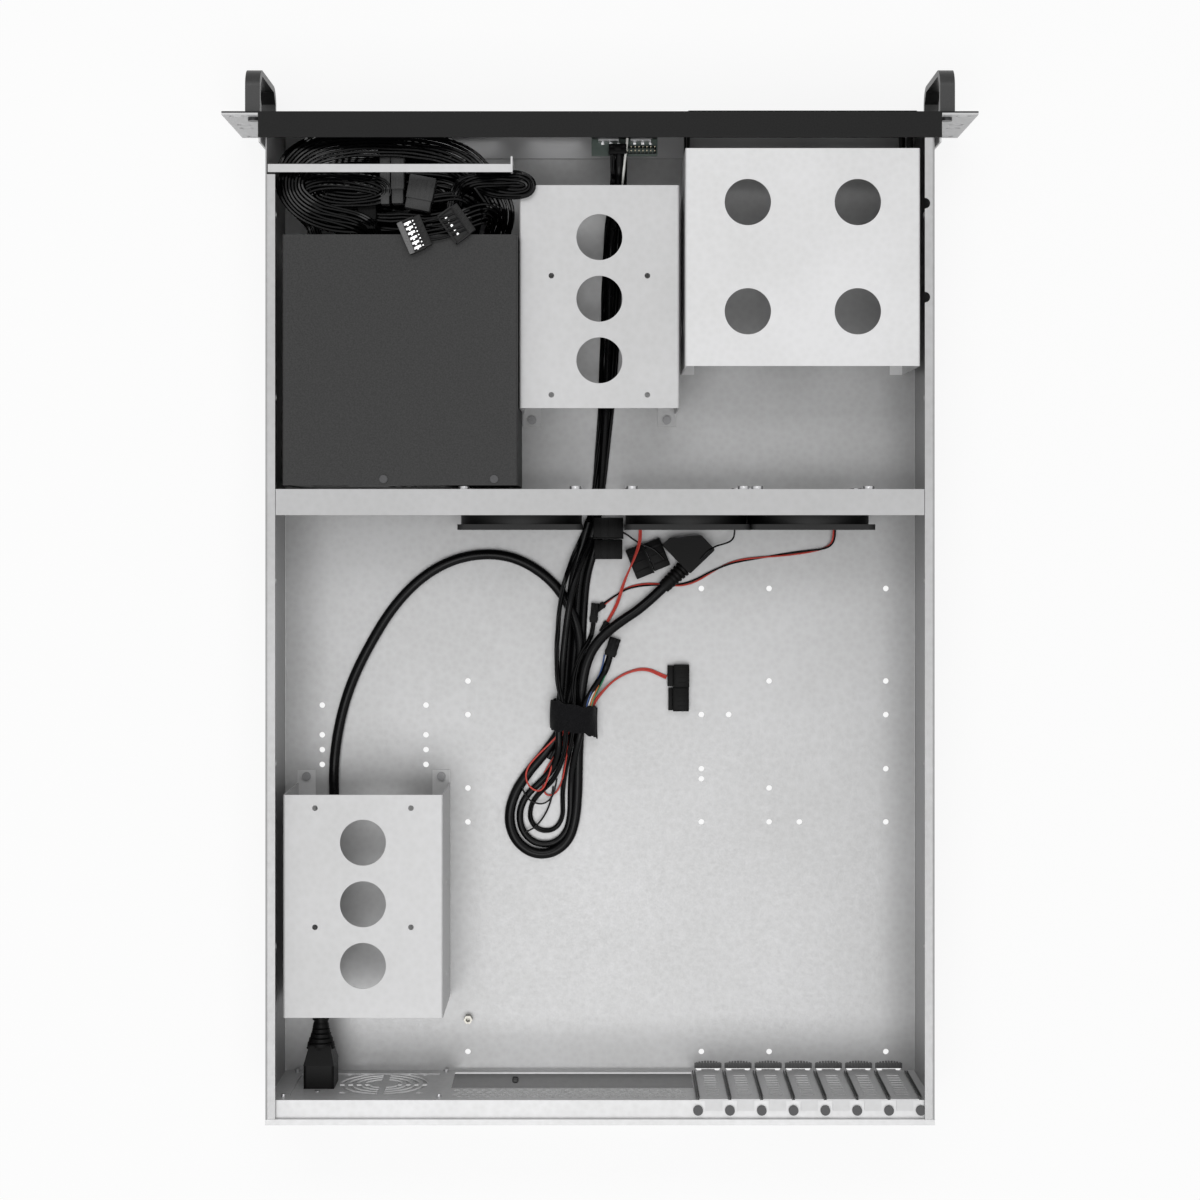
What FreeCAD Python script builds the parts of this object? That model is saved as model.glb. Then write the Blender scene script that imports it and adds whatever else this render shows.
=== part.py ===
import FreeCAD, Part
import math
import os
import re

import Sketcher

# A 2U rack-mount server case with its top cover off.  X runs across the case (+X is the power
# supply side), +Y runs from the front panel to the rear wall, Z is up.  The origin is the middle
# of the case's footprint, on the surface that it stands on.

Vector = FreeCAD.Vector
doc = FreeCAD.newDocument("server_case")

DIMENSIONS = (
    # overall
    ("case_depth", 646.5, "front panel face to rear lip"),
    ("handle_reach", 29.4, "front panel face to the front of the handles"),
    ("panel_width", 482.6, "19 inch panel"),
    ("panel_height", 88.1, "two rack units less the gap between neighbours"),
    ("panel_gauge", 1.0, "black sheet of the front panel"),
    ("panel_flange", 16.5, "depth of the panel's top and bottom flanges"),
    ("flange_width", 436.0, "width of those flanges"),
    # tray
    ("tray_width", 427.2, "outside of the side walls"),
    ("tray_gauge", 1.0, "galvanised sheet of the tray and beams"),
    ("tray_lip", 6.4, "top lips of the side walls"),
    ("bend", 0.6, "inside radius of the sheet bends"),
    ("lip_start", 40.0, "panel face to the start of the lip beside the power supply"),
    ("lip_notch", 3.4, "radius of the two half-round notches in the other lip"),
    # rack ears and handles
    ("ear_gauge", 1.2, "ear brackets behind the panel"),
    ("ear_leg", 19.5, "panel face to the end of the ear bracket's side leg"),
    ("ear_slot_edge", 8.75, "end of the panel to the middle of its rack slots"),
    ("ear_slot_radius", 3.3, "half the height of an ear slot"),
    ("ear_slot_run", 3.0, "between the two end centres of an ear slot"),
    ("rack_unit", 44.45, "one rack unit"),
    ("ear_slot_first", 6.05, "lowest slot above the underside"),
    ("ear_slot_step", 31.75, "lower to upper slot of one rack unit"),
    ("handle_edge", 18.9, "end of the panel to the middle of the handle"),
    ("handle_width", 9.5, "strap width"),
    ("handle_gauge", 4.0, "strap thickness"),
    ("handle_low", 6.0, "lower edge of the handle"),
    ("handle_high", 82.0, "upper edge of the handle"),
    ("handle_bend", 12.0, "outer radius of the handle's bends"),
    ("handle_screw", 2.0, "radius of the handle's screws"),
    ("screw_play", 0.15, "radial clearance round a screw"),
    # rear wall
    ("wall_recess", 15.3, "rear lip to the inside face of the rear wall"),
    ("ledge_height", 84.0, "top of the ledge that the slot covers are screwed to"),
    ("rear_lip", 3.7, "depth of the raised rear lip"),
    ("window_left", 97.4, "edge of the connector window nearest the inlet"),
    ("window_width", 158.75, "connector window"),
    ("window_height", 44.45, "connector window"),
    ("window_low", 7.2, "lower edge of the connector window"),
    ("vent_pitch", 6.0, "perforated strip over the window"),
    ("vent_radius", 2.1, "perforated strip over the window"),
    ("slot_first", -72.8, "middle of the slot beside the window"),
    ("slot_pitch", 20.32, "expansion slots"),
    ("slot_open", 13.4, "width of a slot opening"),
    ("slot_low", 15.0, "lower edge of a slot opening"),
    ("slot_cover_width", 18.4, "slot cover"),
    ("slot_cover_gauge", 0.8, "slot cover"),
    ("slot_tab", 10.7, "width of a slot cover's bent tab"),
    ("slot_tab_reach", 6.6, "length of a slot cover's bent tab"),
    ("tongue_half", 8.3, "half the width of the punched slot for a cover's tongue"),
    # inlet plate
    ("plate_left", 207.0, "outer edge of the inlet plate"),
    ("plate_right", 100.0, "inner edge of the inlet plate"),
    ("plate_low", 3.0, "inlet plate"),
    ("plate_high", 79.0, "inlet plate"),
    ("plate_border", 7.0, "overlap of the inlet plate on the wall"),
    ("inlet_place", 184.0, "middle of the mains inlet"),
    ("inlet_height", 36.0, "middle of the mains inlet"),
    ("grille_place", 142.5, "middle of the round grille"),
    ("grille_height", 35.0, "middle of the round grille"),
    ("grille_radius", 29.0, "outer edge of the outermost ring"),
    ("grille_slot", 3.2, "width of a ring slot"),
    ("grille_web", 2.2, "metal between the ring slots"),
    ("grille_screw", 25.0, "half the square of the grille's fan holes"),
    # board and floor holes
    ("board_left", 89.1, "first column of board holes"),
    ("board_rear", 27.8, "rear lip to the rear row of board holes"),
    ("board_hole", 1.9, "radius of the board holes"),
    # fan wall
    ("beam_place", 240.8, "panel face to the front of the fan wall"),
    ("beam_flange", 16.6, "fan wall's top flange"),
    ("beam_window_low", 10.0, "window behind the power supply"),
    ("cable_gap", 21.0, "opening for the cables between the first two fans"),
    ("cable_gap_place", -2.6, "middle of that opening"),
    ("fan_size", 80.0, "square of a fan"),
    ("fan_depth", 25.0, "fan frame"),
    ("fan_bore", 38.0, "radius of the fan's duct"),
    ("fan_barrel", 39.6, "outside radius of the duct wall"),
    ("fan_flange", 3.6, "thickness of the fan's flanges"),
    ("fan_screw_place", 35.75, "half the fan's screw square"),
    ("fan_lift", 1.4, "fan above the tray floor"),
    ("hub_radius", 17.5, "fan hub"),
    ("blade_radius", 37.2, "fan blade tips"),
    ("blade_gauge", 1.4, "fan blade thickness"),
    ("shaft_radius", 2.0, "fan shaft"),
    ("shaft_play", 0.05, "running clearance of the fan shaft"),
    # cages
    ("cage_width", 102.8, "drive cage outside"),
    ("cage_length", 143.3, "top plate of a drive cage"),
    ("cage_height", 75.0, "top of a drive cage above the underside"),
    ("cage_gauge", 0.8, "drive cage sheet"),
    ("cage_hole", 14.8, "radius of the large holes in the cage tops"),
    ("cage_foot", 12.0, "width of a drive cage's feet"),
    ("cage_toe", 8.7, "feet beyond the top plate"),
    ("front_cage_place", 45.2, "panel face to the front drive cage"),
    ("rear_cage_place", 218.0, "rear lip to the toes of the rear drive cage"),
    ("rear_cage_middle", 152.4, "middle of the rear drive cage"),
    ("bay_left", -54.5, "inner side of the drive bay cage"),
    ("bay_width", 149.9, "drive bay cage outside"),
    ("bay_place", 23.2, "panel face to the drive bay cage"),
    ("bay_length", 139.0, "drive bay cage"),
    ("bay_top", 86.0, "top of the drive bay cage"),
    ("bay_slot_place", 32.0, "front of the drive bay cage to its first drive slots"),
    ("bay_cover_height", 41.3, "one bay cover"),
    ("bay_cover_low", 2.6, "lower edge of the lower bay cover"),
    ("bay_cover_proud", 1.0, "bay covers in front of the panel"),
    ("bay_cover_play", 0.35, "gap round a bay cover"),
    # power supply
    ("supply_left", 202.6, "outer side of the power supply"),
    ("supply_width", 150.0, "power supply"),
    ("supply_length", 160.0, "power supply"),
    ("supply_height", 86.0, "power supply"),
    ("supply_gap", 2.4, "power supply to the fan wall"),
    ("rail_place", 33.5, "panel face to the retaining rail"),
    ("rail_width", 5.1, "top of the retaining rail"),
    ("rail_end", 55.8, "inner end of the retaining rail"),
    # front controls
    ("board_middle", -16.0, "middle of the front connector board"),
    ("board_width", 43.0, "front connector board"),
    ("board_level", 52.0, "underside of the front connector board"),
    ("board_gauge", 1.6, "front connector board"),
    ("power_cap", 5.0, "radius of the power button"),
    ("reset_cap", 2.5, "radius of the reset button"),
    ("button_play", 0.35, "gap round a button"),
    ("button_height", 70.0, "middle of the buttons"),
    # loose parts on the floor
    ("lay", 0.2, "loose parts above the floor"),
    ("strap_right", 3.0, "edge of the cable strap nearest the middle"),
    ("strap_left", 33.0, "other edge of the cable strap"),
    ("strap_front", 74.0, "front edge of the cable strap"),
    ("strap_width", 20.0, "width of the cable strap"),
    ("strap_top", 21.0, "top of the cable strap"),
    ("strap_gauge", 1.5, "thickness of the cable strap"),
    ("strap_round", 7.0, "corners of the cable strap"),
    ("plug_body", 19.0, "end of the cord to the body of its plug"),
    ("plug_end", 42.5, "end of the cord to the face of its plug"),
    ("plug_half", 7.8, "half the thickness of that plug"),
    ("coil_radius", 27.5, "outside of the wound supply cable"),
    ("coil_hole", 10.0, "inside of the wound supply cable"),
    ("coil_top", 71.0, "top of the wound supply cable"),
    ("hank_left", 143.0, "folded supply cables"),
    ("hank_right", 107.0, "folded supply cables"),
    ("hank_top", 50.0, "top of the folded supply cables"),
    ("loops_top", 62.0, "top of the looped supply cables"),
    ("cable_gap_rear", 1.2, "supply cables to the power supply"),
)

dims = doc.addObject("Spreadsheet::Sheet", "dims")
for row, (word, amount, meaning) in enumerate(DIMENSIONS, 1):
    dims.set("A%d" % row, word)
    dims.set("B%d" % row, str(amount))
    dims.set("C%d" % row, meaning)
    dims.setAlias("B%d" % row, word)
doc.recompute()

# Places that several pieces share, as expressions of the driving dimensions.
FACE = "((handle_reach - case_depth)/2)"
REAR = "((handle_reach + case_depth)/2)"
HALF = "(tray_width/2)"
INSIDE = "(tray_width/2 - tray_gauge)"
TOP = "(panel_height - panel_gauge)"
WALL = "(%s - wall_recess)" % REAR
BETWEEN = "(tray_width/2 - tray_gauge - bend - 0.1)"
BEAM = "(%s + beam_place)" % FACE
FAN_MIDDLE = "(tray_gauge + fan_lift + fan_size/2)"
FAN_PLACES = (51.5, -56.3, -136.6)

WORDS = re.compile(r"\b(%s)\b" % "|".join(word for word, amount, meaning in DIMENSIONS))
PLANES = {"XY": "XY_Plane", "XZ": "XZ_Plane", "YZ": "YZ_Plane"}
cuts = []


def tie(thing, path, expression):
    """Bind one property of a piece to the spreadsheet."""
    thing.setExpression(path, WORDS.sub(r"dims.\1", str(expression)))


def size(word):
    """Read one cell of the spreadsheet."""
    return dims.getPropertyByName(word)


def piece(name):
    """Start a sub-part: a body whose label names its node."""
    body = doc.addObject("PartDesign::Body", name)
    body.Label = name
    return body


def place(body, x="0", y="0", z="0"):
    """Set a body's own origin down in the case."""
    tie(body, "Placement.Base.x", x)
    tie(body, "Placement.Base.y", y)
    tie(body, "Placement.Base.z", z)


def reference(body, role):
    """Find one of the body's own origin planes or axes."""
    for feature in body.Origin.OriginFeatures:
        if feature.Role == role:
            return feature


def dimension(sketch, kind, geometry, vertex, near, expression):
    """Fix one coordinate of a sketch point."""
    number = sketch.addConstraint(Sketcher.Constraint(kind, -1, 1, geometry, vertex, near))
    tie(sketch, "Constraints[%d]" % number, expression)


def polygon(sketch, points):
    """Draw a closed outline whose corners are pairs of expressions."""
    first = sketch.GeometryCount
    count = len(points)
    turn = 2 * math.pi / count
    ring = [Vector(50 * math.cos(turn * i), 50 * math.sin(turn * i), 0) for i in range(count)]
    for i in range(count):
        sketch.addGeometry(Part.LineSegment(ring[i], ring[(i + 1) % count]), False)
    for i in range(count):
        after = first + (i + 1) % count
        sketch.addConstraint(Sketcher.Constraint("Coincident", first + i, 2, after, 1))
    for i, (across, up) in enumerate(points):
        dimension(sketch, "DistanceX", first + i, 1, ring[i].x, across)
        dimension(sketch, "DistanceY", first + i, 1, ring[i].y, up)


def rectangle(sketch, left, right, low, high):
    """Draw a rectangle between two pairs of expressions."""
    polygon(sketch, [(left, low), (right, low), (right, high), (left, high)])


def circle(sketch, across, up, radius):
    """Draw a circle with its centre and radius bound."""
    number = sketch.addGeometry(Part.Circle(Vector(10, 10, 0), Vector(0, 0, 1), 2), False)
    dimension(sketch, "DistanceX", number, 3, 10, across)
    dimension(sketch, "DistanceY", number, 3, 10, up)
    bound = sketch.addConstraint(Sketcher.Constraint("Radius", number, 2))
    tie(sketch, "Constraints[%d]" % bound, radius)


def circles(sketch, spots, radius):
    """Draw equal circles at several places."""
    for across, up in spots:
        circle(sketch, across, up, radius)


def ring(sketch, across, up, outer, inner):
    """Draw two circles about one centre."""
    circle(sketch, across, up, outer)
    circle(sketch, across, up, inner)


def stadium(sketch, across, up, run, radius):
    """Draw a level slot with round ends: run is the distance between its end centres."""
    tie(sketch, "AttachmentOffset.Base.x", across)
    tie(sketch, "AttachmentOffset.Base.y", up)
    normal = Vector(0, 0, 1)
    quarter = math.pi / 2
    right_end = Part.Circle(Vector(4, 0, 0), normal, 3)
    left_end = Part.Circle(Vector(-4, 0, 0), normal, 3)
    sketch.addGeometry(Part.ArcOfCircle(right_end, -quarter, quarter), False)
    sketch.addGeometry(Part.LineSegment(Vector(4, 3, 0), Vector(-4, 3, 0)), False)
    sketch.addGeometry(Part.ArcOfCircle(left_end, quarter, 3 * quarter), False)
    sketch.addGeometry(Part.LineSegment(Vector(-4, -3, 0), Vector(4, -3, 0)), False)
    for i in range(4):
        sketch.addConstraint(Sketcher.Constraint("Tangent", i, 2, (i + 1) % 4, 1))
    sketch.addConstraint(Sketcher.Constraint("Equal", 0, 2))
    dimension(sketch, "DistanceX", 0, 3, 4, "(%s)/2" % run)
    dimension(sketch, "DistanceY", 0, 3, 0, "0")
    dimension(sketch, "DistanceX", 2, 3, -4, "-(%s)/2" % run)
    dimension(sketch, "DistanceY", 2, 3, 0, "0")
    bound = sketch.addConstraint(Sketcher.Constraint("Radius", 0, 3))
    tie(sketch, "Constraints[%d]" % bound, radius)


def start_sketch(body, name, plane, offset):
    """Attach a new sketch to one of the body's planes."""
    sketch = body.newObject("Sketcher::SketchObject", name)
    sketch.AttachmentSupport = (reference(body, PLANES[plane]), [""])
    sketch.MapMode = "FlatFace"
    tie(sketch, "AttachmentOffset.Base.z", offset)
    return sketch


def add(body, name, plane, low, high, draw, *values):
    """Pad a sketch from one coordinate to another along the normal of its plane."""
    offset = "-(%s)" % high if plane == "XZ" else low
    sketch = start_sketch(body, name + "_sketch", plane, offset)
    draw(sketch, *values)
    pad = body.newObject("PartDesign::Pad", name)
    pad.Profile = sketch
    tie(pad, "Length", "(%s) - (%s)" % (high, low))
    return pad


def cut(body, name, plane, low, high, draw, *values):
    """Pocket a sketch from one coordinate to another along the normal of its plane."""
    offset = "-(%s)" % low if plane == "XZ" else high
    sketch = start_sketch(body, name + "_sketch", plane, offset)
    draw(sketch, *values)
    pocket = body.newObject("PartDesign::Pocket", name)
    pocket.Profile = sketch
    tie(pocket, "Length", "(%s) - (%s)" % (high, low))
    cuts.append(pocket)
    return pocket


def row(body, name, feature, axis, step, count):
    """Repeat a feature along one of the body's axes."""
    pattern = body.newObject("PartDesign::LinearPattern", name)
    pattern.Originals = [feature]
    pattern.Direction = (reference(body, axis + "_Axis"), [""])
    tie(pattern, "Length", "abs(%s)*%d" % (step, count - 1))
    pattern.Reversed = str(step).startswith("-")
    pattern.Occurrences = count
    body.Tip = pattern
    return pattern


def soften(body, name, feature, corners, radius):
    """Round the edges that rise from the numbered corners of the feature's sketch."""
    doc.recompute()
    profile = feature.Profile[0]
    normal = profile.Placement.Rotation.multVec(Vector(0, 0, 1))
    edges = []
    for number in corners:
        corner = profile.Placement.multVec(profile.Geometry[number].StartPoint)
        for count, edge in enumerate(feature.Shape.Edges, 1):
            start = edge.Vertexes[0].Point
            run = edge.Vertexes[-1].Point - start
            level = run.Length > 1e-6 and run.cross(normal).Length < 1e-6 * run.Length
            if level and (corner - start).cross(normal).Length < 1e-4:
                edges.append("Edge%d" % count)
    rounded = body.newObject("PartDesign::Fillet", name)
    rounded.Base = (feature, edges)
    tie(rounded, "Radius", radius)
    body.Tip = rounded
    return rounded


def screws(name, spots, axis, head_radius, head_height, shank_radius, shank_length):
    """A group of pan-head screws: the head stands out along the axis from each spot."""
    turns = {"+Z": (0, 0, 1), "+Y": (0, 1, 0), "-Y": (0, -1, 0)}
    turned = FreeCAD.Rotation(Vector(0, 0, 1), Vector(*turns[axis]))
    solids = []
    for count, (x, y, z) in enumerate(spots, 1):
        head = doc.addObject("Part::Cylinder", "%s_head_%d" % (name, count))
        shank = doc.addObject("Part::Cylinder", "%s_shank_%d" % (name, count))
        for part, radius, length in ((head, head_radius, head_height),
                                     (shank, shank_radius, shank_length)):
            tie(part, "Radius", radius)
            tie(part, "Height", length)
            part.Placement.Rotation = turned
        shift = dict(zip("xyz", turns[axis]))
        for letter, at in zip("xyz", (x, y, z)):
            tie(head, "Placement.Base." + letter, at)
            back = "(%s)*%d" % (shank_length, shift[letter])
            tie(shank, "Placement.Base." + letter, "%s - %s" % (at, back))
        screw = doc.addObject("Part::Fuse", "%s_%d" % (name, count))
        screw.Base = head
        screw.Tool = shank
        solids.append(screw)
    group = doc.addObject("Part::Compound", name)
    group.Label = name
    group.Links = solids
    return group


# ---------------------------------------------------------------- tray

BOARD_COLUMNS = (0.0, 157.48, 281.94)
BOARD_ROWS = (0.0, 154.94, 227.33)
# Columns and rows that only larger boards use, from the same first hole.
WIDE_HOLES = ((157.48, 184.0), (175.9, 227.33), (157.48, 190.8), (281.94, 190.8), (203.2, 154.94),
              (203.2, 177.8), (223.6, 154.94), (0.0, 177.8), (0.0, 250.0), (203.2, 250.0),
              (281.94, 250.0), (157.48, 312.4), (203.2, 312.4), (281.94, 312.4), (203.2, 0.0))


def board_spots():
    """Every board hole of the floor as a pair of expressions."""
    steps = [(column, back) for column in BOARD_COLUMNS for back in BOARD_ROWS]
    steps += list(WIDE_HOLES)
    return [("board_left - %s" % column, "%s - board_rear - %s" % (REAR, back))
            for column, back in steps]


def chassis_tray():
    """Floor and side walls folded from one sheet, with lips turned inwards along the top."""
    body = piece("chassis_tray")
    low_lip = "%s - tray_gauge" % TOP
    right = [(HALF, "0"), (HALF, TOP), (HALF + " - tray_lip", TOP), (HALF + " - tray_lip", low_lip),
             (INSIDE, low_lip), (INSIDE, "tray_gauge")]
    left = [("-(%s)" % across, up) for across, up in reversed(right)]
    front = FACE + " + panel_gauge"
    fold = add(body, "fold", "XZ", front, REAR, polygon, right + left)
    bent = soften(body, "outer_bends", fold, (0, 1, 10, 11), "bend + tray_gauge")
    inner = body.newObject("PartDesign::Fillet", "inner_bends")
    doc.recompute()
    inner.Base = (bent, inner_bend_edges(bent.Shape))
    tie(inner, "Radius", "bend")
    body.Tip = inner
    cut(body, "supply_lip_gap", "XY", low_lip + " - 1", TOP + " + 1", rectangle,
        HALF + " - tray_lip - 1", INSIDE, front + " - 1", FACE + " + lip_start")
    cut(body, "rear_corner_gap", "XY", low_lip, TOP + " + 1", rectangle,
        "-%s - 1" % HALF, HALF + " + 1", REAR + " - rear_lip", REAR + " + 1")
    cut(body, "lip_notches", "XY", low_lip + " - 1", TOP + " + 1", circles,
        [("tray_lip - " + HALF, FACE + " + 58.5"), ("tray_lip - " + HALF, FACE + " + 118.4")],
        "lip_notch")
    cut(body, "board_holes", "XY", "-1", "tray_gauge + 1", circles, board_spots(), "board_hole")
    ladder = [("rear_cage_middle %s" % side, "%s - rear_cage_place - %s" % (REAR, back))
              for side in ("- 35", "+ 35") for back in (3.5, 13.5, 23.5, 43.5)]
    cut(body, "cage_ladder", "XY", "-1", "tray_gauge + 1", circles, ladder, "board_hole")
    tongue = cut(body, "tongue_slot", "XY", "-1", "tray_gauge + 1", stadium,
                 "slot_first", WALL + " - 1.4", "2*tongue_half - 3.2", "1.6")
    row(body, "tongue_slots", tongue, "X", "-slot_pitch", 7)
    side = [(FACE + " + %s" % back, "panel_height/2") for back in (60, 180, 300, 420, 540)]
    cut(body, "slide_holes", "YZ", "-%s - 1" % HALF, HALF + " + 1", circles, side, "2.2")
    return body


def inner_bend_edges(shape):
    """Name the long edges along the four inside corners of the tray."""
    names = []
    across = size("tray_width") / 2 - size("tray_gauge")
    ups = (size("tray_gauge"), size("panel_height") - size("panel_gauge") - size("tray_gauge"))
    for count, edge in enumerate(shape.Edges, 1):
        start = edge.Vertexes[0].Point
        end = edge.Vertexes[-1].Point
        along = abs(end.y - start.y) > 10 and abs(end.x - start.x) < 1e-6 and abs(end.z - start.z) < 1e-6
        if along and abs(abs(start.x) - across) < 1e-4 and min(abs(start.z - up) for up in ups) < 1e-4:
            names.append("Edge%d" % count)
    return names


# ---------------------------------------------------------------- front panel, ears, handles

def ear_slot_heights():
    """The four slots of an ear: two for each rack unit."""
    lower = "ear_slot_first"
    return (lower, lower + " + ear_slot_step", lower + " + rack_unit",
            lower + " + rack_unit + ear_slot_step")


def front_panel():
    """Black panel with flanges turned back along the top and bottom."""
    body = piece("front_panel")
    back = FACE + " + panel_gauge"
    deep = FACE + " + panel_flange"
    add(body, "plate", "XZ", FACE, back, rectangle,
        "-panel_width/2", "panel_width/2", "0", "panel_height")
    add(body, "top_flange", "XY", TOP, "panel_height", rectangle,
        "-flange_width/2", "flange_width/2", FACE, deep)
    add(body, "bottom_flange", "XY", "tray_gauge", "tray_gauge + panel_gauge", rectangle,
        "-(%s)" % BETWEEN, BETWEEN, FACE, deep)
    for side in ("-", ""):
        for number, height in enumerate(ear_slot_heights(), 1):
            cut(body, "ear_slot%s_%d" % (side.replace("-", "_right"), number), "XZ", FACE + " - 1",
                back + " + 1", stadium, "%s(panel_width/2 - ear_slot_edge)" % side, height, "ear_slot_run",
                "ear_slot_radius")
        spots = [(HANDLE_MIDDLE % side, height) for height in handle_screw_heights()]
        cut(body, "handle_holes" + side.replace("-", "_right"), "XZ", FACE + " - 1", back + " + 1",
            circles, spots, "handle_screw + screw_play")
    cut(body, "bay_opening", "XZ", FACE + " - 1", back + " + 1", rectangle,
        "bay_left - bay_width + 1.4", "bay_left - 1.4", "bay_cover_low",
        "bay_cover_low + 2*bay_cover_height")
    supply_vent = cut(body, "supply_vent", "XZ", FACE + " - 1", back + " + 1", rectangle,
                      "195", "198", "14", "74")
    row(body, "supply_vents", supply_vent, "X", "-6", 22)
    cage_vent = cut(body, "cage_vent", "XZ", FACE + " - 1", back + " + 1", rectangle,
                    "44", "47", "14", "74")
    row(body, "cage_vents", cage_vent, "X", "-6", 6)
    level = "board_level + board_gauge"
    for number, spot in enumerate(USB_SPOTS, 1):
        cut(body, "usb_hole_%d" % number, "XZ", FACE + " - 1", back + " + 1", rectangle,
            "%s - 7.1" % spot, "%s + 7.1" % spot, level + " - 0.4", level + " + 6.2")
    cut(body, "power_hole", "XZ", FACE + " - 1", back + " + 1", circle,
        POWER_SPOT, "button_height", "power_cap + button_play")
    cut(body, "reset_hole", "XZ", FACE + " - 1", back + " + 1", circle,
        RESET_SPOT, "button_height", "reset_cap + button_play")
    cut(body, "lamp_holes", "XZ", FACE + " - 1", back + " + 1", circles,
        [(spot, LAMP_HEIGHT) for spot in LAMP_SPOTS], "1.6")
    return body


HANDLE_MIDDLE = "%s(panel_width/2 - handle_edge)"


def handle_screw_heights():
    """A handle's two screws sit in the middle of its legs."""
    return ("handle_low + handle_gauge + 1", "handle_high - handle_gauge - 1")


def ear_bracket(name, side):
    """Galvanised angle behind each end of the panel, with the rack slots."""
    body = piece(name)
    front = FACE + " + panel_gauge"
    back = front + " + ear_gauge"
    leg_in = "%s(flange_width/2 - ear_gauge - 0.2)" % side
    leg_out = "%s(flange_width/2 - 0.2)" % side
    edge = "%spanel_width/2" % side
    low = "tray_gauge + panel_gauge + 0.2"
    high = TOP + " - 0.2"
    profile = [(leg_in, front), (edge, front), (edge, back), (leg_out, back),
               (leg_out, FACE + " + ear_leg"), (leg_in, FACE + " + ear_leg")]
    add(body, "angle", "XY", low, high, polygon, profile)
    add(body, "ear", "XZ", front, back, rectangle, "%s(flange_width/2 + 0.1)" % side, edge,
        "0", "panel_height")
    for number, height in enumerate(ear_slot_heights(), 1):
        cut(body, "slot_%d" % number, "XZ", front + " - 1", back + " + 1", stadium,
            "%s(panel_width/2 - ear_slot_edge)" % side, height, "ear_slot_run", "ear_slot_radius")
    spots = [(HANDLE_MIDDLE % side, height) for height in handle_screw_heights()]
    cut(body, "handle_holes", "XZ", front + " - 1", back + " + 1", circles, spots,
        "handle_screw + screw_play")
    return body


def handle(name, side):
    """Flat strap bent into a U, tapped in its two thickened feet."""
    body = piece(name)
    left = HANDLE_MIDDLE % side + " - handle_width/2"
    right = HANDLE_MIDDLE % side + " + handle_width/2"
    tip = FACE + " - handle_reach"
    outline = [(FACE, "handle_low"), (FACE, "handle_high"), (tip, "handle_high"), (tip, "handle_low")]
    strap = add(body, "strap", "YZ", left, right, polygon, outline)
    bent = soften(body, "bends", strap, (2, 3), "handle_bend")
    body.Tip = bent
    reach_in = "%s + handle_gauge" % tip
    inner = [(FACE + " + 1", "handle_low + handle_gauge + 3"),
             (FACE + " + 1", "handle_high - handle_gauge - 3"),
             (FACE + " - 6", "handle_high - handle_gauge - 3"),
             (FACE + " - 10", "handle_high - handle_gauge"),
             (reach_in + " + 7", "handle_high - handle_gauge"),
             (reach_in, "handle_high - handle_gauge - 7"),
             (reach_in, "handle_low + handle_gauge + 7"),
             (reach_in + " + 7", "handle_low + handle_gauge"),
             (FACE + " - 10", "handle_low + handle_gauge"),
             (FACE + " - 6", "handle_low + handle_gauge + 3")]
    cut(body, "grip", "YZ", left + " - 1", right + " + 1", polygon, inner)
    spots = [(HANDLE_MIDDLE % side, height) for height in handle_screw_heights()]
    cut(body, "tapped_holes", "XZ", FACE + " - 7", FACE + " + 1", circles, spots,
        "handle_screw + screw_play")
    return body


def handle_screws():
    """Four screws from behind the ears into the handles."""
    back = FACE + " + panel_gauge + ear_gauge"
    spots = [(HANDLE_MIDDLE % side, back, height) for side in ("-", "")
             for height in handle_screw_heights()]
    return screws("handle_screws", spots, "+Y", "3.6", "2.2", "handle_screw", "7.2")


# ---------------------------------------------------------------- front controls

USB_SPOTS = ("board_middle - 10.5", "board_middle + 10.5")
POWER_SPOT = "board_middle - 12"
RESET_SPOT = "board_middle + 4"
LAMP_SPOTS = ("board_middle + 12", "board_middle + 18", "board_middle + 24")
LAMP_HEIGHT = "button_height"


def bay_cover(name, number):
    """Moulded blank for one drive bay: a dished face with two sprung side tongues."""
    body = piece(name)
    low = "bay_cover_low + %d*bay_cover_height" % number
    right = "bay_left - 1.4 - bay_cover_play"
    left = "bay_left - bay_width + 1.4 + bay_cover_play"
    front = FACE + " - bay_cover_proud"
    bottom = low + " + bay_cover_play/2"
    top = low + " + bay_cover_height - bay_cover_play/2"
    face = add(body, "face", "XZ", front, FACE + " + 2.4", rectangle, left, right, bottom, top)
    soften(body, "corners", face, (0, 1, 2, 3), "1.2")
    cut(body, "dish", "XZ", front + " + 1.6", FACE + " + 3", rectangle, left + " + 2", right + " - 2",
        bottom + " + 2", top + " - 2")
    pip = FACE + " + bay_place + bay_slot_place"
    for side, start, end, outer, wall in (
            ("left", left, left + " + 1.8", left, "bay_left - bay_width + 0.1"),
            ("right", right + " - 1.8", right, right, "bay_left - 0.1")):
        add(body, "tongue_" + side, "XY", low + " + 4", low + " + 22", rectangle,
            start, end, FACE + " + 1", pip + " + 6")
        near, far = (wall, outer) if side == "left" else (outer, wall)
        add(body, "pip_" + side, "YZ", near, far, circle, pip, low + " + 10", "1.7")
    return body


def io_bracket():
    """Small shelf folded from sheet that carries the connector board behind the panel."""
    body = piece("io_bracket")
    front = FACE + " + panel_gauge"
    profile = [(front, "board_level - 14"), (front + " + 1", "board_level - 14"),
               (front + " + 1", "board_level - 1"), (front + " + 20", "board_level - 1"),
               (front + " + 20", "board_level"), (front, "board_level")]
    add(body, "shelf", "YZ", "board_middle - board_width/2", "board_middle + board_width/2",
        polygon, profile)
    return body


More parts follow.
